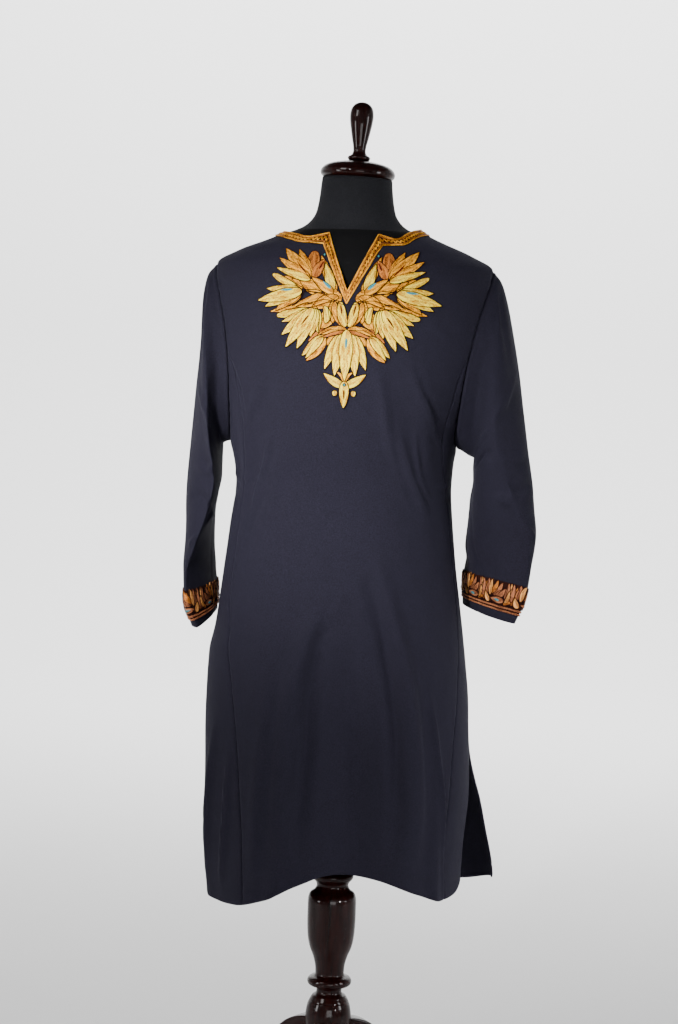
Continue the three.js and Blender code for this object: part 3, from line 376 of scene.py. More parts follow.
def slit_edge(side, z, share=None):
    """Angle of the V's edge at a height, or at a share of the way from the neckline to the shoulder."""
    half = V_LEFT if side < 0 else V_RIGHT
    height = z
    for _ in range(1 if share is None else 5):
        x = side * half * np.clip((height - V_BOTTOM) / (V_TOP - V_BOTTOM), 0, 1.2)
        angle = float(front_angle(x, height))
        if share is not None:
            height = float(neck_height(angle)) * (1 - share) + ARM_TOP * share
    return angle


# Every piece is a grid of points, or several, put together here and handed over in metres.
def grid_faces(rows, columns, ring=False, start=0, flip=False):
    r, c = np.meshgrid(np.arange(rows - 1), np.arange(columns if ring else columns - 1), indexing="ij")
    d = (c + 1) % columns
    quads = np.stack([r * columns + c, (r + 1) * columns + c, (r + 1) * columns + d, r * columns + d], -1)
    quads = quads.reshape(-1, 4) + start
    return quads[:, ::-1] if flip else quads


def add_piece(name, parts, materials):
    """parts: (points in mm, faces, uv in mm per point, material index) each."""
    points, faces, uvs, index, start = [], [], [], [], 0
    for place, quads, uv, material in parts:
        place = np.asarray(place, float).reshape(-1, 3)
        points.append(place)
        if isinstance(quads, np.ndarray):
            faces += (quads + start).tolist()
        else:
            faces += [[corner + start for corner in face] for face in quads]
        uvs.append(np.asarray(uv, float).reshape(-1, 2) / 1000)
        index.append(np.full(len(quads), material))
        start += len(place)
    points = np.concatenate(points) / 1000 + AXIS
    uvs = np.concatenate(uvs)
    mesh = bpy.data.meshes.new(name)
    mesh.from_pydata(points.tolist(), [], faces)
    mesh.polygons.foreach_set("material_index", np.concatenate(index))
    mesh.polygons.foreach_set("use_smooth", np.ones(len(mesh.polygons), bool))
    corner = np.empty(len(mesh.loops), int)
    mesh.loops.foreach_get("vertex_index", corner)
    mesh.uv_layers.new(name="cloth").data.foreach_set("uv", uvs[corner].ravel())
    for material in materials:
        mesh.materials.append(material)
    mesh.update()
    piece = bpy.data.objects.new(name, mesh)
    bpy.context.collection.objects.link(piece)
    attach(piece, "root")
    return piece


def shell(outer, inner, uv, ring=False, material=0, closed=(None, None)):
    """A closed wall between two grids of points; closed limits the rows whose left and right edges are shut."""
    rows, columns = outer.shape[:2]
    count = rows * columns
    faces = [grid_faces(rows, columns, ring), grid_faces(rows, columns, ring, count, True)]
    at = np.arange(count).reshape(rows, columns)
    borders = [(at[0], False), (at[-1], True)]
    if ring:
        borders = [(np.append(line, line[0]), flip) for line, flip in borders]
    else:
        borders += [(at[:closed[0], 0], True), (at[:closed[1], -1], False)]
    for line, flip in borders:
        quads = np.stack([line[:-1], line[1:], line[1:] + count, line[:-1] + count], -1)
        faces.append(quads[:, ::-1] if flip else quads)
    points = np.concatenate([outer.reshape(-1, 3), inner.reshape(-1, 3)])
    return points, np.concatenate(faces), np.concatenate([uv.reshape(-1, 2)] * 2), material


def panel_grid(left, right, columns, gore=False):
    """Angles and heights of a panel's points; left and right give its edges at a height (and neck share)."""
    rows = [] if gore else [(SHOULDER + (ARM_TOP - SHOULDER) * s, s, None) for s in np.linspace(0, 1, 15)[:-1]]
    rows += [(z, None, None) for z in arm_z if not gore or z <= ARM_MIDDLE + 0.01]
    rows += [(z, None, None) for z in trunk_z]
    rows += [(SLIT_TOP + (HEM_LEVEL - SLIT_TOP) * s, None, s) for s in np.linspace(0, 1, 58)[1:]]
    angles, heights = [], []
    for z, share, drop in rows:
        a, b = left(z, share), right(z, share)
        line = a + (b - a) * np.linspace(0, 1, columns + 1)
        angles.append(line)
        if share is not None:
            heights.append(neck_height(line) * (1 - share) + ARM_TOP * share)
        elif drop is not None:
            heights.append(SLIT_TOP * (1 - drop) + hem_height(line) * drop)
        else:
            heights.append(np.full_like(line, z))
    return np.array(angles), np.array(heights)


def panel_shell(grid, back, closed=(None, None)):
    angles, heights = grid
    uv = np.stack([angles * MM_PER_DEGREE, heights], -1)
    outer, inner = cloth(angles, heights, 0, back), cloth(angles, heights, -CLOTH, back)
    return shell(outer, inner, uv, closed=closed)


def centre_edge(z, column):
    if z >= ARM_TOP - 0.01:
        return 90 - SHOULDER_GAP
    if z > ARM_MIDDLE + 0.5:
        return float(armhole_angle(z, ARM_FRONT))
    return abs(float(smooth(SEAMS, z, column))) - SEAM_GAP


def back_edge(z, column):
    if z >= ARM_TOP - 0.01:
        return 90 + SHOULDER_GAP
    if z > ARM_MIDDLE + 0.5:
        return 180 - float(armhole_angle(z, ARM_BACK))
    return abs(float(smooth(SEAMS, z, column))) + SEAM_GAP


def side_edge(z, span):
    return (float(armhole_angle(z, span)) if z > ARM_BOTTOM else 90.0) - SEAM_GAP


front_left = panel_grid(lambda z, s: -centre_edge(z, 1), lambda z, s: slit_edge(-1, z, s), 56)
front_right = panel_grid(lambda z, s: slit_edge(1, z, s), lambda z, s: centre_edge(z, 2), 56)
# The two halves of the front are joined below the V, where their edges meet.
slit_rows = 1 + int(np.argmin(np.abs(front_left[1][:60, 0] - V_BOTTOM)))
front_cloth = add_piece("front_cloth", [
    panel_shell(front_left, False, (None, slit_rows)), panel_shell(front_right, False, (slit_rows, None)),
], [wool])
work = bmesh.new()
work.from_mesh(front_cloth.data)
bmesh.ops.remove_doubles(work, verts=work.verts, dist=1e-5)
work.to_mesh(front_cloth.data)
work.free()
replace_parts(front_cloth, "front_panel")

back_cloth = add_piece("back_cloth", [panel_shell(panel_grid(
    lambda z, s: back_edge(z, 4), lambda z, s: 360 - back_edge(z, 3), 96), True)], [wool])
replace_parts(back_cloth, "back_panel")

for name, column, sign, back, flat, area in (
        ("front_gore_left", 1, -1, False, (0.155, 0.83), 0.08),
        ("front_gore_right", 2, 1, False, (0.11, 0.83), 0.05),
        ("back_gore_left", 3, -1, True, (0.14, 0.83), 0.08),
        ("back_gore_right", 4, 1, True, (0.15, 0.83), 0.07)):
    if back:
        seam = lambda z, s: abs(float(smooth(SEAMS, z, column))) - SEAM_GAP
        free = lambda z, s: 180 - side_edge(z, ARM_BACK)
        edges = (free, seam)
    else:
        seam = lambda z, s: abs(float(smooth(SEAMS, z, column))) + SEAM_GAP
        free = lambda z, s: side_edge(z, ARM_FRONT)
        edges = (seam, free)
    first, last = edges
    if sign < 0:  # the left side mirrors the right
        turn = 360 if back else 0
        first, last = (lambda z, s: turn - edges[1](z, s)), (lambda z, s: turn - edges[0](z, s))
    gore = add_piece(name + "_cloth", [panel_shell(panel_grid(first, last, 26, True), back)], [wool])
    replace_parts(gore, name)

# Sleeves
# Each is one piece of the same wool with a seam under the arm. They hang empty, folded flat front to back, and
# turn a little at the elbow.
SLEEVE_LEFT = [  # outer, front, inner and back points (x runs out from the body), and sharpness of the folds
    (221, 0, 1312, 196, -66, 1186, 192, 0, 1055, 196, 61, 1186, 1),
    (227, 0, 1276, 206, -78, 1150, 194, 0, 1044, 206, 70, 1150, 1),
    (229, 0, 1216, 206, -84, 1105, 193, 0, 1028, 210, 77, 1105, 1.15),
    (235, 0, 1140, 201, -82, 1055, 192, 0, 1005, 212, 77, 1055, 1.3),
    (241, 2, 1060, 194, -74, 1002, 196, 2, 978, 214, 75, 1003, 1.4),
    (245, 4, 985, 206, -68, 945, 202, 4, 943, 213, 71, 948, 1.4),
    (242, 4, 925, 222, -67, 898, 205, 6, 903, 213, 66, 903, 1.4),
    (238, 0, 872, 232, -66, 860, 204, 4, 866, 209, 62, 868, 1.4),
    (234, -2, 824, 230, -66, 820, 199, -2, 832, 207, 58, 836, 1.35),
    (228, -4, 788, 213, -64, 779, 196, -4, 796, 204, 56, 802, 1.3)]
SLEEVE_RIGHT = [
    (223, 0, 1313, 198, -67, 1186, 184, 0, 1051, 198, 61, 1186, 1),
    (234, 0, 1281, 212, -82, 1150, 192, 0, 1047, 211, 72, 1150, 1),
    (247, 0, 1222, 221, -88, 1105, 191, 0, 1036, 218, 80, 1105, 1.15),
    (258, 0, 1160, 228, -84, 1062, 192, 0, 1014, 220, 80, 1060, 1.3),
    (269, 0, 1075, 246, -76, 1015, 190, 0, 982, 214, 76, 1010, 1.4),
    (277, 2, 1000, 263, -70, 968, 192, 2, 948, 207, 70, 965, 1.4),
    (274, 4, 938, 280, -61, 925, 196, 0, 912, 199, 62, 918, 1.4),
    (260, 14, 882, 279, -50, 876, 207, -6, 882, 188, 56, 888, 1.4),
    (249, 18, 846, 275, -45, 842, 208, -8, 850, 183, 58, 858, 1.35),
    (238, 22, 810, 262, -42, 803, 206, -6, 815, 183, 60, 824, 1.3)]
SLEEVE_MM, SLEEVE_LENGTH = 0.95, 500  # mm round for each degree, and mm from armhole to hem
SLEEVE_CREASES = {  # paths of (degrees round, share of the length), as for the body
    -1: [([(100, 0.44), (70, 0.5), (40, 0.53)], 5, 2.0), ([(95, 0.56), (60, 0.57), (35, 0.6)], 6, -2.2),
         ([(90, 0.3), (60, 0.36), (30, 0.38)], 7, 1.6), ([(120, 0.62), (140, 0.58), (160, 0.6)], 6, 2.0),
         ([(84, 0.66), (64, 0.71)], 6, 1.8), ([(30, 0.1), (42, 0.2), (40, 0.32)], 8, -1.8),
         ([(250, 0.4), (290, 0.5), (320, 0.52)], 7, 2.2), ([(260, 0.56), (300, 0.6)], 6, -2.0),
         ([(200, 0.1), (215, 0.2)], 7, -2.0), ([(330, 0.12), (322, 0.28)], 8, -1.6)],
    1: [([(92, 0.42), (64, 0.48), (34, 0.5)], 6, 2.2), ([(96, 0.5), (70, 0.55), (38, 0.57)], 6, -2.2),
        ([(90, 0.28), (56, 0.35), (28, 0.36)], 7, 1.7), ([(110, 0.3), (135, 0.24), (160, 0.25)], 7, 2.4),
        ([(104, 0.4), (128, 0.34), (150, 0.34)], 6, -2.0), ([(100, 0.56), (130, 0.52)], 7, 2.0),
        ([(86, 0.64), (60, 0.7)], 6, 1.8), ([(28, 0.1), (40, 0.2), (38, 0.32)], 8, -1.8),
        ([(250, 0.42), (286, 0.5), (318, 0.5)], 7, 2.2), ([(262, 0.58), (300, 0.62)], 6, -2.0),
        ([(200, 0.1), (215, 0.2)], 7, -2.0), ([(330, 0.12), (322, 0.28)], 8, -1.6)]}


def armhole_edge(sign, angle, gap=0.4):
    a = np.radians(angle)
    front = np.sin(a) >= -1e-9
    span = np.where(front, ARM_FRONT, ARM_BACK) - gap * 0.4
    return sign * (90 - span * np.sin(a)), ARM_MIDDLE + (ARM_HALF - gap) * np.cos(a), ~front


def sleeve_point(sign, sections, angle, along):
    keys = np.column_stack([np.arange(len(sections)), sections])
    place = along * (len(sections) - 1)
    outer, front, inner, rear = [
        np.stack([smooth(keys, place, 1 + 3 * k + i) for i in range(3)], -1) for k in range(4)]
    fold = smooth(keys, place, 13)
    centre = (front + rear) / 2
    c, s = np.cos(np.radians(angle)), np.sin(np.radians(angle))
    across = np.where((c >= 0)[..., None], outer, inner) - centre
    tip = np.where((s >= 0)[..., None], front, rear) - centre
    point = centre + across * (np.abs(c) ** fold)[..., None] + tip * np.abs(s)[..., None]
    return point * np.array([sign, 1, 1])


def sleeve_surface(sign, rows, angle, along):
    starts = [body(*armhole_edge(sign, a)) for a in (0.0, 90.0, 180.0, 270.0)]
    first = np.concatenate([np.asarray(p).ravel() * [sign, 1, 1] for p in starts] + [[1]])
    sections = np.vstack([first, rows])
    angle, along = np.broadcast_arrays(np.asarray(angle, float), np.asarray(along, float))
    point = sleeve_point(sign, sections, angle, along)
    settle = 1 - ease(along * len(rows) / 1.5)
    seam = body(*armhole_edge(sign, angle))
    return point + (seam - sleeve_point(sign, sections, angle, along * 0)) * settle[..., None]


def sleeve_cloth(sign, rows, angle, along, out=0.0):
    """A point over the creased outside of a sleeve."""
    near = np.clip(along, 0.004, 0.996)
    down = sleeve_surface(sign, rows, angle, near + 0.004) - sleeve_surface(sign, rows, angle, near - 0.004)
    around = sleeve_surface(sign, rows, angle + 6, along) - sleeve_surface(sign, rows, angle - 6, along)
    outward = np.cross(down, around) * -sign
    outward = outward / np.linalg.norm(outward, axis=-1, keepdims=True)
    creases = [([(a * SLEEVE_MM, s * SLEEVE_LENGTH) for a, s in path], w, h) for path, w, h in SLEEVE_CREASES[sign]]
    turned = np.mod(angle, 360)
    rise = crease_rise(turned * SLEEVE_MM, along * SLEEVE_LENGTH + 0 * turned, creases)
    rise += (0.8 * wander(turned / 30, along * 8, 3) + 0.3 * wander(turned / 9, along * 17, 4)) * ease(along * 12)
    rise += -0.9 * np.exp(-((turned - 180) / 3) ** 2) * ease(along * 10)
    below_seam = along * SLEEVE_LENGTH
    rise += -1.0 * np.exp(-(below_seam / 2.4) ** 2) + 0.8 * np.exp(-((below_seam - 8) / 6) ** 2)
    rise += -0.4 * np.exp(-(((1 - along) * 360 - 1) / 1.5) ** 2)
    return sleeve_surface(sign, rows, angle, along) + outward * (rise + out)[..., None]


for name, sign, rows in (("sleeve_left", -1, SLEEVE_LEFT), ("sleeve_right", 1, SLEEVE_RIGHT)):
    along, angle = np.meshgrid(np.linspace(0, 1, 190), np.linspace(0, 360, 121)[:-1], indexing="ij")
    order = angle if sign < 0 else angle[:, ::-1]
    outer = sleeve_cloth(sign, rows, order, along)
    inner = sleeve_cloth(sign, rows, order, along, -CLOTH)
    edge_angle, edge_z, edge_back = armhole_edge(sign, order[0], 0.4 + 1.2 * (1 - np.cos(np.radians(order[0]))))
    inner[0] = body(edge_angle, edge_z, edge_back) - CLOTH * normal(edge_angle, edge_z, edge_back)
    uv = np.stack([order * SLEEVE_MM, along * SLEEVE_LENGTH], -1)
    sleeve = add_piece(name + "_cloth", [shell(outer, inner, uv, ring=True)], [wool])
    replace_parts(sleeve, name)

# Embroidery threads
# Gold and copper thread is laid in close rows and stitched down, with dark silk along its edges and small
# accents of red and turquoise silk.
laid, laid_in, laid_out = new_group(
    "Laid thread",
    [("Pitch", "Float", 0.9), ("Strength", "Float", 0.5)],
    [("Tone", "Float", None), ("Normal", "Vector", None)])
uv_node = add_node(laid, "ShaderNodeUVMap")
cross = add_node(laid, "ShaderNodeSeparateXYZ", in0=uv_node.outputs[0])
turns = maths(laid, "MULTIPLY", cross.outputs[0], TURNS_PER_MM)
rib = maths(laid, "COSINE", maths(laid, "DIVIDE", turns, laid_in.outputs["Pitch"]))
drawn_out = add_node(laid, "ShaderNodeMapping", Vector=uv_node.outputs[0], Scale=(1.0, 0.22, 1.0))
stitches = add_node(laid, "ShaderNodeTexNoise", Vector=drawn_out.outputs[0], Scale=1500.0, Detail=3.0, Roughness=0.6)
patches = add_node(laid, "ShaderNodeTexNoise", Vector=drawn_out.outputs[0], Scale=240.0, Detail=2.0)
tone = maths(laid, "ADD", stitches.outputs[0], maths(laid, "MULTIPLY", patches.outputs[0], 0.9))
relief = maths(laid, "ADD", maths(laid, "MULTIPLY", rib, 0.3), stitches.outputs[0])
bump = add_node(laid, "ShaderNodeBump", Strength=laid_in.outputs["Strength"], Distance=0.0005, Height=relief)
laid.links.new(tone, laid_out.inputs["Tone"])
laid.links.new(bump.outputs[0], laid_out.inputs["Normal"])


def thread_material(name, dark, light, metal=0.35, rough=0.42):
    material, tree, shader = new_material(name, Metallic=metal, Specular_IOR_Level=0.08, Roughness=rough)
    rows = add_node(tree, "ShaderNodeGroup", {"node_tree": laid}, Pitch=0.9, Strength=1.0)
    two_tones(tree, shader, rows.outputs["Tone"], 0.82, 1.04, dark, light)
    tree.links.new(rows.outputs["Normal"], shader.inputs["Normal"])
    return material


THREADS = [
    thread_material("pale gold thread", (0.42, 0.15, 0.004, 1), (1.0, 0.76, 0.06, 1)),
    thread_material("ochre thread", (0.22, 0.060, 0.003, 1), (0.98, 0.44, 0.028, 1)),
    thread_material("copper thread", (0.13, 0.030, 0.006, 1), (0.60, 0.20, 0.035, 1)),
    thread_material("dark silk", (0.006, 0.0012, 0.0008, 1), (0.02, 0.004, 0.002, 1), 0.0, 0.8),
    thread_material("red silk", (0.05, 0.002, 0.0015, 1), (0.12, 0.005, 0.003, 1), 0.0, 0.6),
    thread_material("turquoise silk", (0.02, 0.13, 0.16, 1), (0.08, 0.36, 0.40, 1), 0.0, 0.5),
    thread_material("rose copper thread", (0.09, 0.024, 0.010, 1), (0.46, 0.17, 0.075, 1)),
    thread_material("tan thread", (0.20, 0.065, 0.014, 1), (0.86, 0.39, 0.11, 1)),
]
PALE, OCHRE, COPPER, DARK, RED, TURQUOISE, ROSE, TAN = range(8)
LIFT, LEVEL = 0.6, 0.38  # mm from the cloth to the lowest thread, and from one layer to the next


def petal(base, tip, width, thread, level=0, bend=0.0, blunt=False, edged=True):
    """Grids of a padded petal laid flat: its top, and its dark edge cord. Places are (out, up) in mm."""
    base, tip = np.array(base, float), np.array(tip, float)
    run = tip - base
    length = math.hypot(*run)
    run /= length
    aside = np.array([-run[1], run[0]])
    u = (1 - np.cos(np.linspace(0, math.pi, 15))) / 2
    shape = u ** 0.5 * (1 - u) ** (0.42 if blunt else 0.85)
    shape = shape / shape.max()
    half_count = max(2, round(width / 2.2))
    v = np.linspace(-1, 1, 2 * half_count + 1)
    sway = bend * 4 * u * (1 - u)
    across = v * (shape[:, None] * width / 2) + sway[:, None]
    flat = base + (u * length)[:, None, None] * run + across[..., None] * aside
    ridge = 0.14 * np.where(np.arange(len(v)) % 2, 1, -1)
    rise = LIFT + LEVEL * level + 0.95 * np.sqrt(np.clip(1 - v * v, 0, 1)) * (0.3 + 0.7 * shape[:, None]) + ridge
    rise[:, [0, -1]] = 0.12
    uv = np.stack([across, np.broadcast_to((u * length)[:, None], across.shape)], -1)
    parts = [(flat, rise, grid_faces(15, len(v)), uv, thread)]
    if edged:
        rim = np.concatenate([flat[:, 0], flat[::-1, -1]])
        rim_rise = np.full(len(rim), LIFT + LEVEL * level + 0.05)
        parts += cord_flat(rim, rim_rise, 0.7, DARK)
    return parts


def cord_flat(line, rise, radius, thread, sides=5):
    """A cord along a flat line of (out, up) places, each at its own rise."""
    step = np.gradient(line, axis=0)
    size = np.linalg.norm(step, axis=1, keepdims=True)
    step = step / np.where(size > 1e-6, size, 1)
    aside = np.stack([-step[:, 1], step[:, 0]], -1)
    a = np.linspace(0, 2 * math.pi, sides + 1)[:-1]
    radius = np.broadcast_to(radius, len(line))[:, None]
    flat = line[:, None] + (radius * np.cos(a))[..., None] * aside[:, None]
    up = rise[:, None] + radius * np.sin(a)
    gone = np.concatenate([[0], np.cumsum(np.linalg.norm(np.diff(line, axis=0), axis=1))])
    uv = np.stack([np.broadcast_to(a * radius, up.shape), np.broadcast_to(gone[:, None], up.shape)], -1)
    return [(flat, up, grid_faces(len(line), sides, True), uv, thread)]


def curve_of(*places, count=24):
    """A smooth line through a few places."""
    keys = np.array([(i, *p) for i, p in enumerate(places)], float)
    s = np.linspace(0, len(places) - 1, count)
    return np.stack([smooth(keys, s, 1), smooth(keys, s, 2)], -1)


# Yoke
# Five big blossoms with buds and leaves round the foot of the V, and a small pendant below. Each petal is thread
# laid over padding, edged with a dark cord and sewn through the front. The two halves mirror each other.
YOKE_MIDDLE = 3
HALF_YOKE = [
    # ground of leaves under the blossoms
    ((20, 1283), (45, 1340), 16, OCHRE, -1), ((10, 1274), (88, 1308), 25, OCHRE, -1),
    ((14, 1273), (96, 1262), 20, OCHRE, -1), ((50, 1270), (116, 1254), 14, OCHRE, -1),
    ((44, 1292), (104, 1306), 18, OCHRE, -1), ((16, 1266), (42, 1228), 24, OCHRE, -1),
    ((6, 1226), (34, 1206), 14, OCHRE, -1), ((30, 1230), (56, 1212), 12, COPPER, -1),
    # upper blossom
    ((58, 1304), (54, 1346), 19, COPPER, 0, 0, True), ((57, 1304), (78, 1348), 17, OCHRE, 1),
    ((58, 1304), (99, 1349), 20, OCHRE, 2), ((58, 1303), (107, 1334), 14, OCHRE, 3),
    ((58, 1302), (110, 1319), 12, PALE, 4), ((64, 1311), (80, 1329), 3.6, RED, 6),
    # bud beside it
    ((54, 1306), (39, 1334), 15, COPPER, 1), ((46, 1318), (40, 1330), 3.4, RED, 4),
    # leaves between
    ((36, 1286), (86, 1303), 15, OCHRE, 0), ((34, 1281), (80, 1263), 17, OCHRE, 0, -2),
    ((24, 1287), (37, 1328), 15, PALE, 1), ((23, 1283), (56, 1306), 13.5, OCHRE, 2),
    ((27, 1290), (39, 1300), 5.6, TURQUOISE, 5), ((15, 1278), (53, 1262), 12, OCHRE, 2, 4),
    # side blossom
    ((72, 1286), (115, 1310), 11, PALE, 1, 0, True), ((70, 1286), (123, 1288), 15, PALE, 2),
    ((70, 1285), (90, 1262), 12, OCHRE, 1), ((70, 1285), (107, 1256), 14, OCHRE, 2),
    ((70, 1285), (124, 1261), 15, PALE, 3), ((69, 1285), (135, 1270), 19, PALE, 4),
    ((83, 1287), (101, 1285.5), 5, TURQUOISE, 7),
    # lower blossom
    ((52, 1259), (105, 1248), 12, PALE, 1, 0, True), ((52, 1257), (97, 1239), 13, PALE, 2),
    ((47, 1260), (42, 1224), 15, PALE, 1), ((48, 1260), (53, 1218), 17, PALE, 2),
    ((52, 1259), (96, 1220), 18, PALE, 3), ((49, 1260), (72, 1200), 18, PALE, 3),
    ((51, 1260), (89, 1202), 19, PALE, 4), ((57, 1249), (68, 1234), 4, RED, 7),
    # buds by the middle
    ((35, 1264), (31, 1239), 11, PALE, 2, -3, True), ((21, 1271), (4, 1232), 11, OCHRE, 1, 4),
    ((12, 1271), (3, 1234), 14, PALE, 3, 1, True), ((11, 1265), (8, 1249), 3.6, RED, 6),
    ((1, 1231), (43, 1221), 11, OCHRE, 2, 3), ((0, 1228), (38, 1217), 6, COPPER, 3, 1),
    # lower bud
    ((33, 1221), (57, 1183), 20, OCHRE, 1, -2), ((33, 1221), (64, 1190), 14, PALE, 2, 1),
    ((34, 1219), (59, 1186), 10, PALE, 3),
    # middle blossom
    ((3, 1228), (30, 1171), 17, PALE, 1, 3), ((2, 1229), (15, 1162), 19, PALE, 2, 2),
    # pendant
    ((1, 1147), (31, 1166), 13, PALE, 1, -1), ((1, 1151), (11, 1168), 5.5, OCHRE, 2, 3, True),
]
MIDDLE = [
    ((0, 1230), (0, 1155), 20, PALE, 4), ((0, 1217), (0, 1201), 5.5, TURQUOISE, 7),
    ((0, 1155), (0, 1116), 15, PALE, 3), ((0, 1143), (0, 1129), 3.6, RED, 6),
]


def petals(rows):
    return [part for row in rows for part in petal(*row, edged=row[3] not in (RED, TURQUOISE))]


def on_yoke(parts, side=1):
    return [(YOKE_MIDDLE + side * flat[..., 0], flat[..., 1], rise, faces[:, ::side], uv, thread)
            for flat, rise, faces, uv, thread in parts]


half_yoke = petals(HALF_YOKE)
for line in (curve_of((83, 1311), (71, 1296), (66, 1286), (71, 1273), (83, 1262)),
             curve_of((66, 1287), (50, 1287.5), (38, 1284)), curve_of((66, 1284.5), (50, 1284), (36, 1281)),
             curve_of((77, 1262), (60, 1268), (46, 1262), (41, 1246), (42, 1226)),
             curve_of((6, 1269), (26, 1275), (44, 1290), (60, 1309)), curve_of((6, 1266), (34, 1273), (66, 1264)),
             curve_of((24, 1273), (29, 1260), (26, 1246), (18, 1234)), curve_of((4, 1229), (22, 1229), (44, 1219))):
    half_yoke += cord_flat(line, np.full(len(line), 2.2), 0.6, DARK)
for x, z, size, thread in ((28, 1220, 2.1, TURQUOISE), (39.5, 1340, 1.9, TURQUOISE), (13.5, 1137.5, 4.0, PALE)):
    half_yoke += petal((x, z - size), (x, z + size), 2 * size, thread, 2, 0, True)
yoke_parts = on_yoke(half_yoke) + on_yoke(half_yoke, -1) + on_yoke(petals(MIDDLE))
yoke_parts += on_yoke(petal((0, 1148), (0, 1152), 4, TURQUOISE, 5, 0, True))
all_x, all_z, all_rise = (np.concatenate([np.broadcast_to(p[k], p[2].shape).ravel() for p in yoke_parts])
                          for k in range(3))
placed = cloth(front_angle(all_x, all_z), all_z, all_rise, False)
ends = np.cumsum([part[2].size for part in yoke_parts])
yoke = add_piece("yoke_thread_work", [
    (points, faces, uv, thread)
    for points, (x, z, rise, faces, uv, thread) in zip(np.split(placed, ends[:-1]), yoke_parts)],
    THREADS)
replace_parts(yoke, "yoke_embroidery")

# Neck band
# A dark strip round the neckline and down both sides of the V, with two cords along each edge and a gold cord
# that winds between them. The cords are laid on the strip and stitched down.
BAND_WIDTH, BAND_STEPS = 16, (0.3, 3, 6, 10, 13, 15.7)
BAND_FOOT, BAND_FOOT_LOW, BAND_HEAD, BAND_HEAD_LOW = 1288, 1267, 1375.4, 1356  # heights on the V
fine = np.arange(0, 60) * 0.5


def band_cord(points, outward, radius, thread, swell=1.0, sides=6):
    """A closed cord along points on a surface."""
    along = np.roll(points, -1, 0) - np.roll(points, 1, 0)
    along = along / np.linalg.norm(along, axis=1, keepdims=True)
    aside = np.cross(along, outward)
    aside = aside / np.linalg.norm(aside, axis=1, keepdims=True)
    a = np.linspace(0, 2 * math.pi, sides + 1)[:-1]
    thick = radius * np.broadcast_to(swell, len(points))[:, None, None]
    place = points[:, None] + thick * (np.cos(a)[None, :, None] * aside[:, None]
                                       + np.sin(a)[None, :, None] * outward[:, None])
    gone = np.concatenate([[0], np.cumsum(np.linalg.norm(np.diff(points, axis=0), axis=1))])
    uv = np.stack([np.broadcast_to(a * radius, place.shape[:2]), np.broadcast_to(gone[:, None], place.shape[:2])], -1)
    at = np.arange(len(points) * sides).reshape(-1, sides)
    nxt = np.roll(at, -1, 0)
    quads = np.stack([at, nxt, np.roll(nxt, -1, 1), np.roll(at, -1, 1)], -1).reshape(-1, 4)
    return place, quads[:, ::-1], uv, thread


def neck_station(angle):
    top = float(neck_height(angle)) - 0.6
    gone = np.linalg.norm(np.diff(body(angle, top - fine), axis=0), axis=1).cumsum()
    return (angle, top, angle, top - float(np.interp(BAND_WIDTH, gone, fine[1:])))


def leg_station(side, share):
    half = V_LEFT if side < 0 else V_RIGHT
    top_x, top_z = half * share + 0.6, BAND_FOOT + (BAND_HEAD - BAND_FOOT) * share
    low_x, low_z = (half + 8) * share, BAND_FOOT_LOW + (BAND_HEAD_LOW - BAND_FOOT_LOW) * share
    return (side * float(front_angle(top_x, top_z)), top_z, side * float(front_angle(low_x, low_z)), low_z)


stations = [neck_station(-a) for a in np.arange(180, 26, -1.5)]
stations += [leg_station(-1, s) for s in np.linspace(1, 0, 40)[:-1]] + [(0, BAND_FOOT, 0, BAND_FOOT_LOW)]
stations += [leg_station(1, s) for s in np.linspace(0, 1, 40)[1:]]
stations += [neck_station(a) for a in np.arange(27, 180, 1.5)]
stations = np.array(stations, float)
middle_line = body((stations[:, 0] + stations[:, 2]) / 2, (stations[:, 1] + stations[:, 3]) / 2)
gone = np.concatenate([[0], np.linalg.norm(np.diff(middle_line, axis=0), axis=1).cumsum()])
band_length = gone[-1]
band_at = np.linspace(0, band_length, 900)[:-1]
stations = np.stack([np.interp(band_at, gone, stations[:, k]) for k in range(4)], -1)


def on_band(across_mm, out):
    share = np.asarray(across_mm) / BAND_WIDTH
    angle = stations[:, 0] + (stations[:, 2] - stations[:, 0]) * share
    z = stations[:, 1] + (stations[:, 3] - stations[:, 1]) * share
    return cloth(angle, z, out), normal(angle, z)


strip_outer, strip_inner = (
    np.array([on_band(mm, out)[0] for mm in BAND_STEPS]) for out in (LIFT + 0.35, 0.1))
strip_uv = np.stack([np.broadcast_to(np.array(BAND_STEPS)[:, None], strip_outer.shape[:2]),
                     np.broadcast_to(band_at, strip_outer.shape[:2])], -1)
band_parts = [shell(strip_outer, strip_inner, strip_uv, ring=True, material=DARK)]
for mm, radius, thread in ((1.3, 1.15, OCHRE), (3.9, 0.7, COPPER), (12.1, 0.7, COPPER), (14.7, 1.15, OCHRE)):
    points, outward = on_band(mm + 0 * band_at, LIFT + 0.8)
    swell = 1 + 0.12 * np.sin(band_at * 2 * np.pi / (band_length / round(band_length / 2.6)) + mm)
    band_parts.append(band_cord(points, outward, radius, thread, swell))
turns = 2 * np.pi * band_at / (band_length / round(band_length / 6.5))
points, outward = on_band(BAND_WIDTH / 2 + 2.2 * np.sin(turns), LIFT + 0.9 + 0.3 * np.cos(turns * 2))
band_parts.append(band_cord(points, outward, 0.95, OCHRE))
neck_cords = add_piece("neck_band_cords", band_parts, THREADS)
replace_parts(neck_cords, "neck_band")

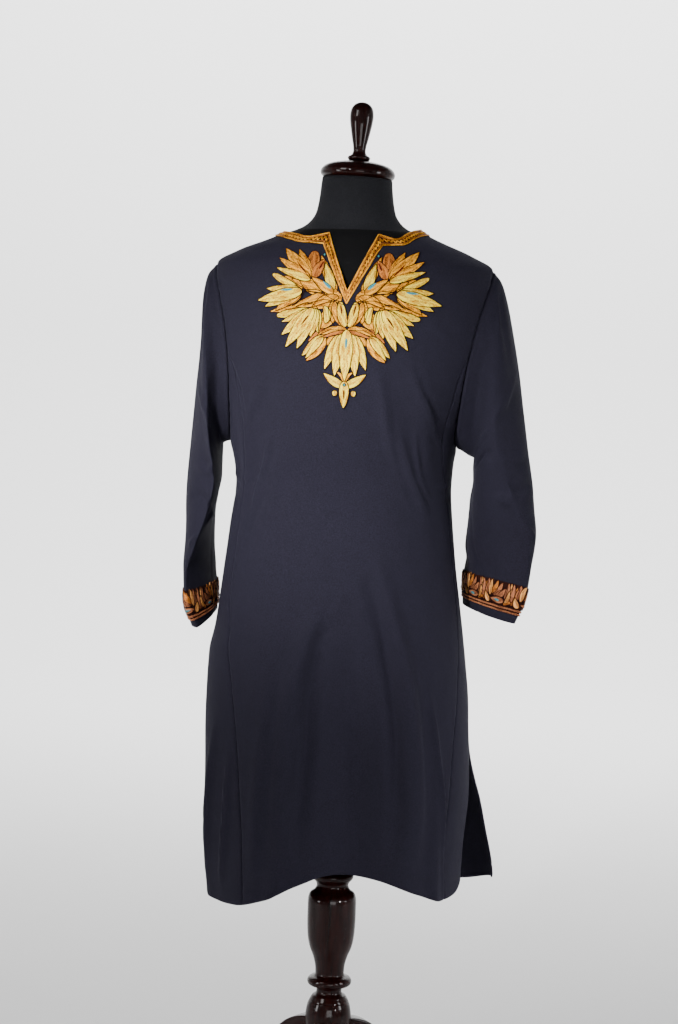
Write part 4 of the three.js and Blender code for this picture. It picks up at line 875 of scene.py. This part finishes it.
# Cuffs
# Each cuff has a scroll of slanting leaves and small eyes round it, over two beaded rows, above a plain hem. The
# band stands higher on the inner side of the right sleeve.
CUFF_TOP, CUFF_BOTTOM, CUFF_HEIGHT, EYE_PITCH = 0.865, 0.975, 37, 53  # shares of the sleeve's length, then mm
for name, sign, rows, start, lifted in (
        ("cuff_left", -1, SLEEVE_LEFT, 8, 0.0), ("cuff_right", 1, SLEEVE_RIGHT, 12, 1.0)):
    ring_angle = np.linspace(0, 360, 361)
    loop = sleeve_surface(sign, rows, ring_angle, 0.92 + 0 * ring_angle)
    around_mm = np.concatenate([[0], np.linalg.norm(np.diff(loop, axis=0), axis=1).cumsum()])
    round_mm = around_mm[-1]
    units = round(round_mm / EYE_PITCH)
    scroll = []
    for k in range(units):
        x = start + k * round_mm / units
        for base, tip, width, thread, level, bend in (
                ((x - 4.5, 11.8), (x + 4.5, 12.6), 4.4, TURQUOISE, 5, 0),
                ((x - 12, 12), (x + 12, 12.4), 8.5, ROSE, 3, 0),
                ((x + 13, 8.5), (x + 22, 20), 8, TAN, 3, -2), ((x + 9, 17.5), (x - 8, 35), 10, ROSE, 1, 2),
                ((x + 2, 17), (x - 13, 28), 9, ROSE, 2, 2), ((x + 14, 19), (x - 1, 37.5), 9.5, COPPER, 2, 2),
                ((x + 13, 16), (x + 9, 38), 7, TAN, 3, -1), ((x + 20, 17), (x + 15, 38), 8.5, ROSE, 2, 1),
                ((x + 26, 9), (x + 20, 34), 9, COPPER, 1, 1.5), ((x + 32, 9), (x + 25, 37), 9.5, ROSE, 2, 2),
                ((x + 35, 10), (x + 31, 26), 7, TAN, 4, 1), ((x - 13, 15), (x - 18, 37), 7.5, ROSE, 2, 1),
                ((x - 18, 13), (x - 21.5, 38), 5.5, TAN, 1, 1), ((x - 13, 8.5), (x - 25, 11), 7, COPPER, 3, -2)):
            scroll += petal(base, tip, width, thread, level, bend, edged=thread != TURQUOISE)
            if width > 7 and thread != TURQUOISE and tip[1] > 20:
                vein = np.linspace(base, tip, 9)[2:7] + np.outer(np.full(5, bend * 0.8), [0, 0.5])
                scroll += cord_flat(vein, np.full(5, LIFT + LEVEL * level + 0.95), 0.42, DARK)
    whole = np.linspace(0, round_mm, 640)
    for mm in (1.4, 5.0):
        beads = np.abs(np.sin(whole * np.pi / 4.4 + mm))
        scroll += cord_flat(np.stack([whole, mm + 0 * whole], -1), LIFT + 0.3 + 0.3 * beads, 0.5 + 0.75 * beads,
                            ROSE, 6)
    strip_mm = np.array([0.0, 8, 16, 24, 32, CUFF_HEIGHT])
    flat = np.stack(np.meshgrid(whole, strip_mm, indexing="ij"), -1)
    scroll.append((flat, np.full(flat.shape[:2], 0.25), grid_faces(len(whole), len(strip_mm)), flat, DARK))
    flat_all = np.concatenate([p[0].reshape(-1, 2) for p in scroll])
    rise_all = np.concatenate([p[1].ravel() for p in scroll])
    angle_all = np.interp(np.mod(flat_all[:, 0], round_mm), around_mm, ring_angle)
    inward = lifted * (1 - np.cos(np.radians(angle_all))) / 2
    height = (CUFF_BOTTOM - CUFF_TOP) * (1 + 0.18 * inward) * np.clip(flat_all[:, 1], 0, 39) / CUFF_HEIGHT
    share_all = CUFF_BOTTOM - 0.01 * inward - height
    placed = sleeve_cloth(sign, rows, angle_all, share_all, rise_all)
    ends = np.cumsum([p[1].size for p in scroll])
    flip = 1 if sign > 0 else -1
    cuff = add_piece(name + "_thread_work", [
        (points, faces[:, ::flip], uv, thread)
        for points, (flat, rise, faces, uv, thread) in zip(np.split(placed, ends[:-1]), scroll)],
        THREADS)
    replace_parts(cuff, "cuff_band_" + name.split("_")[1])

# Dress form and stand
# The form is a padded torso in a dark cover, with a dark grey cover on its neck. The torso's near-black tone is
# partly its own cover and partly painted shade, standing in for the shade that falls inside the dress's V. Cap,
# finial, pole, post and hub are turned from cherry wood and the legs are cut from it, stained dark and varnished.
cotton = cloth_material("form cotton", (0.0040, 0.0041, 0.0052, 1), (0.0145, 0.0149, 0.0178, 1), 0.9, 0.16, 0.03,
                        (0.5, 0.5, 0.55, 1))
# The torso's dark cover: its near-black colour is partly the cover's own and partly painted shade for the shade
# inside the dress's V.
dark_cover_and_shade = cloth_material("black cotton", (0.0007, 0.0007, 0.0009, 1), (0.0020, 0.0020, 0.0024, 1), 0.9, 0.16,
                              0.01, (0.5, 0.5, 0.55, 1))
wood, wood_tree, wood_shader = new_material(
    "cherry wood", Specular_IOR_Level=0.03, Coat_Weight=0.34, Coat_Roughness=0.05)
place = add_node(wood_tree, "ShaderNodeUVMap")
drawn = add_node(wood_tree, "ShaderNodeMapping", Vector=place.outputs[0], Scale=(26.0, 2.2, 1.0))
figure = add_node(wood_tree, "ShaderNodeTexNoise", Vector=drawn.outputs[0], Scale=5.0, Detail=7.0, Roughness=0.62,
                  Distortion=1.1)
pores = add_node(wood_tree, "ShaderNodeTexNoise", Vector=drawn.outputs[0], Scale=42.0, Detail=3.0, Roughness=0.7)
two_tones(wood_tree, wood_shader, figure.outputs[0], 0.3, 0.7, (0.004, 0.0006, 0.0005, 1), (0.015, 0.0022, 0.0015, 1))
dull = add_node(wood_tree, "ShaderNodeMapRange", in0=pores.outputs[0], in1=0.3, in2=0.7, in3=0.26, in4=0.42)
wood_tree.links.new(dull.outputs[0], wood_shader.inputs["Roughness"])
grain = add_node(wood_tree, "ShaderNodeBump", Strength=0.12, Distance=0.0006, Height=pores.outputs[0])
wood_tree.links.new(grain.outputs[0], wood_shader.inputs["Normal"])

TORSO = [  # z, half width, depth in front and behind
    (655, 150, 104, 100), (700, 165, 117, 111), (765, 170, 122, 115), (860, 156, 114, 99), (940, 144, 108, 90),
    (1000, 139, 109, 86), (1063, 146, 119, 92), (1130, 160, 134, 102), (1226, 172, 120, 104),
    (1290, 188, 103, 100)]
NECK = [(1386, 83, 60, 57), (1397, 68.5, 56, 55), (1410, 60.5, 54.5, 54), (1432, 56, 53, 53), (1462, 53, 52, 52)]
FORM_FOOT, FORM_TOP, COVER_SEAM, UNDER_CLOTH = 655, 1462, 1381, 3.6
FORM_SIDES = 120
LEAN_Z, LEAN_OVER, LEAN = 1450, 12, math.radians(2)


def leaned(points, share=None):
    """Points of the form's neck, cap and finial, leant over to the side above the neck's base."""
    turn_by = LEAN * (ease((points[..., 2] - LEAN_Z + LEAN_OVER) / (2 * LEAN_OVER)) if share is None else share)
    x, up_by = points[..., 0], points[..., 2] - LEAN_Z
    return np.stack([x * np.cos(turn_by) + up_by * np.sin(turn_by), points[..., 1],
                     LEAN_Z - x * np.sin(turn_by) + up_by * np.cos(turn_by)], -1)


def form_ring(z, half, front, back):
    a = np.radians(form_angle)
    return z, half * np.sin(a), -np.where(np.cos(a) < 0, back, front) * np.cos(a)


form_angle = np.linspace(-180, 180, FORM_SIDES + 1)[:-1]
rings = [form_ring(*row) for row in TORSO]
for z in (1329, 1346, 1361, 1374):
    point = body(form_angle, z) - UNDER_CLOTH * normal(form_angle, z)
    rings.append((z, point[:, 0], point[:, 1]))
rings += [form_ring(*row) for row in NECK]
keys = np.array([np.concatenate([[z], x, y]) for z, x, y in rings])
form_z = np.concatenate([FORM_FOOT + np.array([0, 0, 0, 0.6, 2.5, 6]), np.linspace(666, FORM_TOP, 150),
                         [FORM_TOP, FORM_TOP]])
inset = np.concatenate([[0, 0.5, 0.955, 0.972, 0.988, 0.997], np.ones(150), [0.5, 0]])
inset = inset * (1 + 0.01 * np.exp(-((form_z - COVER_SEAM) / 4) ** 2))
across = np.stack([smooth(keys, form_z, 1 + k) for k in range(2 * FORM_SIDES)], -1).reshape(-1, 2, FORM_SIDES)
across = across * inset[:, None, None]
form_points = np.stack([across[:, 0], across[:, 1], np.repeat(form_z[:, None], FORM_SIDES, 1)], -1)
form_uv = np.stack([np.broadcast_to(form_angle * 2.4, form_points.shape[:2]), form_points[..., 2]], -1)
form = add_piece("form_covered", [
    (leaned(form_points), grid_faces(len(form_z), FORM_SIDES, True, 0, True), form_uv, 0)],
    [cotton, dark_cover_and_shade])
centres = np.empty(3 * len(form.data.polygons), np.float32)
form.data.polygons.foreach_get("center", centres)
# Faces below the cover seam take the dark torso cover, whose near-black tone is partly painted shade.
form.data.polygons.foreach_set("material_index", (centres[2::3] * 1000 < COVER_SEAM).astype(np.int32))
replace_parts(form, "form_body")


def rounded(outline, steps=5):
    """A smooth curve through a turned outline, with its sharp corners kept."""
    outline = np.array(outline, float)
    run = np.diff(outline, axis=0)
    run = run / np.linalg.norm(run, axis=1, keepdims=True)
    sharp = np.concatenate([[True], (run[:-1] * run[1:]).sum(1) < 0.45, [True]])
    curve = []
    for i in range(len(outline) - 1):
        p, q = outline[i], outline[i + 1]
        before = p - (q - p) if sharp[i] else outline[i - 1]
        after = q + (q - p) if sharp[i + 1] else outline[i + 2]
        reach = np.linalg.norm(q - p)
        a = (q - before) / np.linalg.norm(q - before) * reach
        b = (after - p) / np.linalg.norm(after - p) * reach
        for s in np.linspace(0, 1, steps + 1)[:-1]:
            h = s * s * (3 - 2 * s)
            curve.append(p * (1 - h) + q * h + a * s * (1 - s) ** 2 - b * s * s * (1 - s))
    return np.array(curve + [outline[-1]])


def turned_piece(name, outline, node, at=0.0, tilt=False):
    curve = rounded(outline)
    a = np.linspace(0, 2 * math.pi, TURNED_SIDES + 1)[:-1]
    points = np.stack([curve[:, :1] * np.cos(a), curve[:, :1] * np.sin(a), curve[:, 1:] + at + 0 * a], -1)
    if tilt:
        points = leaned(points, 1.0)
    length = np.concatenate([[0], np.cumsum(np.linalg.norm(np.diff(curve, axis=0), axis=1))])
    uv = np.stack([np.broadcast_to(a * 30, points.shape[:2]), np.broadcast_to(length[:, None], points.shape[:2])], -1)
    faces = grid_faces(len(curve), TURNED_SIDES, True, 0, True)
    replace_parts(add_piece(name, [(points, faces, uv, 0)], [wood]), node)


# The finial and the post are 2 to 3 mm thicker than in the part's source.
TURNED_SIDES, CAP_FOOT, CAP_HEIGHT = 96, 1462.3, 26.8
turned_piece("turned_cap", [(0, 0), (49, 0), (54.5, 3), (56.5, 8), (54.5, 14), (48, 19.5), (36, 23.5), (22, 26),
                            (0, 26.5)], "neck_cap", CAP_FOOT, True)
turned_piece("turned_finial", [
    (0, 0), (12, 0), (16.6, 3), (16.6, 6.5), (11.6, 10), (9.6, 15), (10.2, 23), (12.2, 32), (15, 46), (17.4, 60),
    (17.9, 69), (16.5, 78), (12.2, 84.5), (5.8, 88), (0, 89)], "finial", CAP_FOOT + CAP_HEIGHT, True)
turned_piece("turned_pole", [(0, 405.3), (15, 405.3), (15, 654.7), (0, 654.7)], "pole")
turned_piece("turned_post", [
    (0, 206), (30.2, 206), (29.6, 208), (27.6, 211.5), (25.4, 215), (21, 217.5), (19.3, 221), (20.5, 227),
    (31.5, 231.5), (34, 237), (31.5, 242.5), (23, 246.5), (22.2, 253), (23.4, 264), (26.8, 276), (32, 289),
    (35.4, 304), (37, 326), (37.2, 350), (36.8, 366), (34, 373.5), (28, 378), (24.4, 385), (26, 390.5),
    (30.6, 396), (31.6, 401), (29.6, 405), (0, 405)], "post")
turned_piece("turned_hub", [
    (0, 112), (12, 112), (22, 117), (29, 124), (33.5, 132), (35, 142), (35, 185.7), (34, 193.7), (32.8, 199.7),
    (30.6, 205.7), (0, 205.7)], "hub")

LEG_CURVES = [  # handles and end of each curve of a leg's outline, as distance from the axis and height
    ((50, 176), (75, 167), (98, 133)), ((122, 98), (156, 44), (216, 28)), ((236, 23), (254, 22), (255, 11)),
    ((254, 9), (253, 5), (251, 3)), ((240, 3), (228, 3), (216, 3)), ((170, 4), (138, 28), (112, 62)),
    ((92, 90), (70, 128), (24, 130))]
LEG_HALF, LEG_ROUND = 11.5, 3  # half thickness inside the rounded edges, and their radius
leg_line, here = [], np.array([24.0, 175.0])
for a, b, end in LEG_CURVES:
    s = np.linspace(0, 1, 17)[:-1, None]
    leg_line.append(here * (1 - s) ** 3 + 3 * np.array(a) * s * (1 - s) ** 2 + 3 * np.array(b) * s * s * (1 - s)
                    + np.array(end) * s ** 3)
    here = np.array(end, float)
leg_line = np.concatenate(leg_line + [[here]])
along_line = np.roll(leg_line, -1, 0) - np.roll(leg_line, 1, 0)
leg_out = np.stack([-along_line[:, 1], along_line[:, 0]], -1) / np.linalg.norm(along_line, axis=1, keepdims=True)
rows = []
for side in (1, -1):
    for phi in np.radians([0, 22, 45, 68, 90])[::side]:
        edge = leg_line + leg_out * LEG_ROUND * math.sin(phi)
        out = side * (LEG_HALF + LEG_ROUND * math.cos(phi))
        rows.append(np.stack([edge[:, 0], np.full(len(edge), out), edge[:, 1]], -1))
rows = np.array(rows)
count = len(leg_line)
sides = grid_faces(len(rows), count, True).tolist()
caps = [list(range(count)), [(len(rows) - 1) * count + i for i in range(count)][::-1]]
leg_uv = np.stack([rows[..., 2] + rows[..., 1], rows[..., 0]], -1)
for name, node, angle in (("leg_to_front", "leg_front", -90), ("leg_to_right", "leg_right", 30),
                          ("leg_to_left", "leg_left", 150)):
    c, s = math.cos(math.radians(angle)), math.sin(math.radians(angle))
    placed = np.stack([rows[..., 0] * c - rows[..., 1] * s, rows[..., 0] * s + rows[..., 1] * c, rows[..., 2]], -1)
    made = add_piece(name, [(placed, sides + caps, leg_uv, 0)], [wood])
    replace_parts(made, node)

# Floor and light
# A plain pale floor that turns up into a round wall far off, and soft light from the front and both sides.
FLOOR_REACH, FLOOR_TURN, WALL_TOP = 5.5, 1.5, 6.0
paper, _, _ = new_material("pale floor", Base_Color=(0.74, 0.74, 0.74, 1), Roughness=0.9)
sweep = [(0.001, 0.0), (1.0, 0.0), (3.0, 0.0), (FLOOR_REACH, 0.0)]
sweep += [(FLOOR_REACH + FLOOR_TURN * math.sin(a), FLOOR_TURN - FLOOR_TURN * math.cos(a))
          for a in np.linspace(0.1, math.pi / 2, 16)]
sweep += [(FLOOR_REACH + FLOOR_TURN, WALL_TOP)]
floor_mesh = bpy.data.meshes.new("floor")
floor_mesh.from_pydata(
    [(r * math.cos(a), r * math.sin(a), z) for r, z in sweep for a in np.linspace(0, 2 * math.pi, 97)[:-1]], [],
    grid_faces(len(sweep), 96, True).tolist())
floor_mesh.polygons.foreach_set("use_smooth", [True] * len(floor_mesh.polygons))
floor_mesh.materials.append(paper)
floor = bpy.data.objects.new("floor", floor_mesh)
bpy.context.collection.objects.link(floor)


def studio_light(name, kind, place, target, power):
    data = bpy.data.lights.new(name, kind)
    data.energy = power
    lamp = bpy.data.objects.new(name, data)
    bpy.context.collection.objects.link(lamp)
    lamp.location = place
    lamp.rotation_euler = (Vector(target) - Vector(place)).to_track_quat("-Z", "Y").to_euler()
    return data


for name, place, target, size, power, colour in (
        ("front left", (-1.5, -1.6, 2.2), (0, 0, 1.1), (0.7, 0.9), 25, (1.0, 0.98, 0.96)),
        ("right side", (2.2, -0.7, 1.1), (0, 0, 0.8), (0.5, 1.2), 28, (0.97, 0.98, 1.0)),
        ("left side", (-2.2, -1.2, 0.8), (0, 0, 0.6), (0.5, 1.1), 26, (1, 1, 1)),
        ("front fill", (0.5, -3.0, 0.5), (0, 0, 0.5), (1.4, 0.8), 22, (1, 1, 1)),
        ("far wall", (0.0, 3.6, 4.6), (0, 6.8, 1.2), (5.0, 1.6), 800, (1, 1, 1))):
    panel = studio_light(name, "AREA", place, target, power)
    panel.shape = "RECTANGLE"
    panel.size, panel.size_y = size
    panel.color = colour
for name, place, target, power in (
        ("chest light", (-0.95, -2.4, 1.9), (-0.04, 0, 1.04), 820),
        ("right hem light", (1.7, -1.8, 0.8), (0.22, -0.1, 0.56), 170)):
    spot = studio_light(name, "SPOT", place, target, power)
    spot.spot_size, spot.spot_blend, spot.shadow_soft_size = math.radians(18), 1.0, 0.12
world = bpy.data.worlds.new("room")
world.use_nodes = True
world.node_tree.nodes["Background"].inputs[0].default_value = (0.9, 0.92, 0.95, 1)
world.node_tree.nodes["Background"].inputs[1].default_value = 0.08
bpy.context.scene.world = world
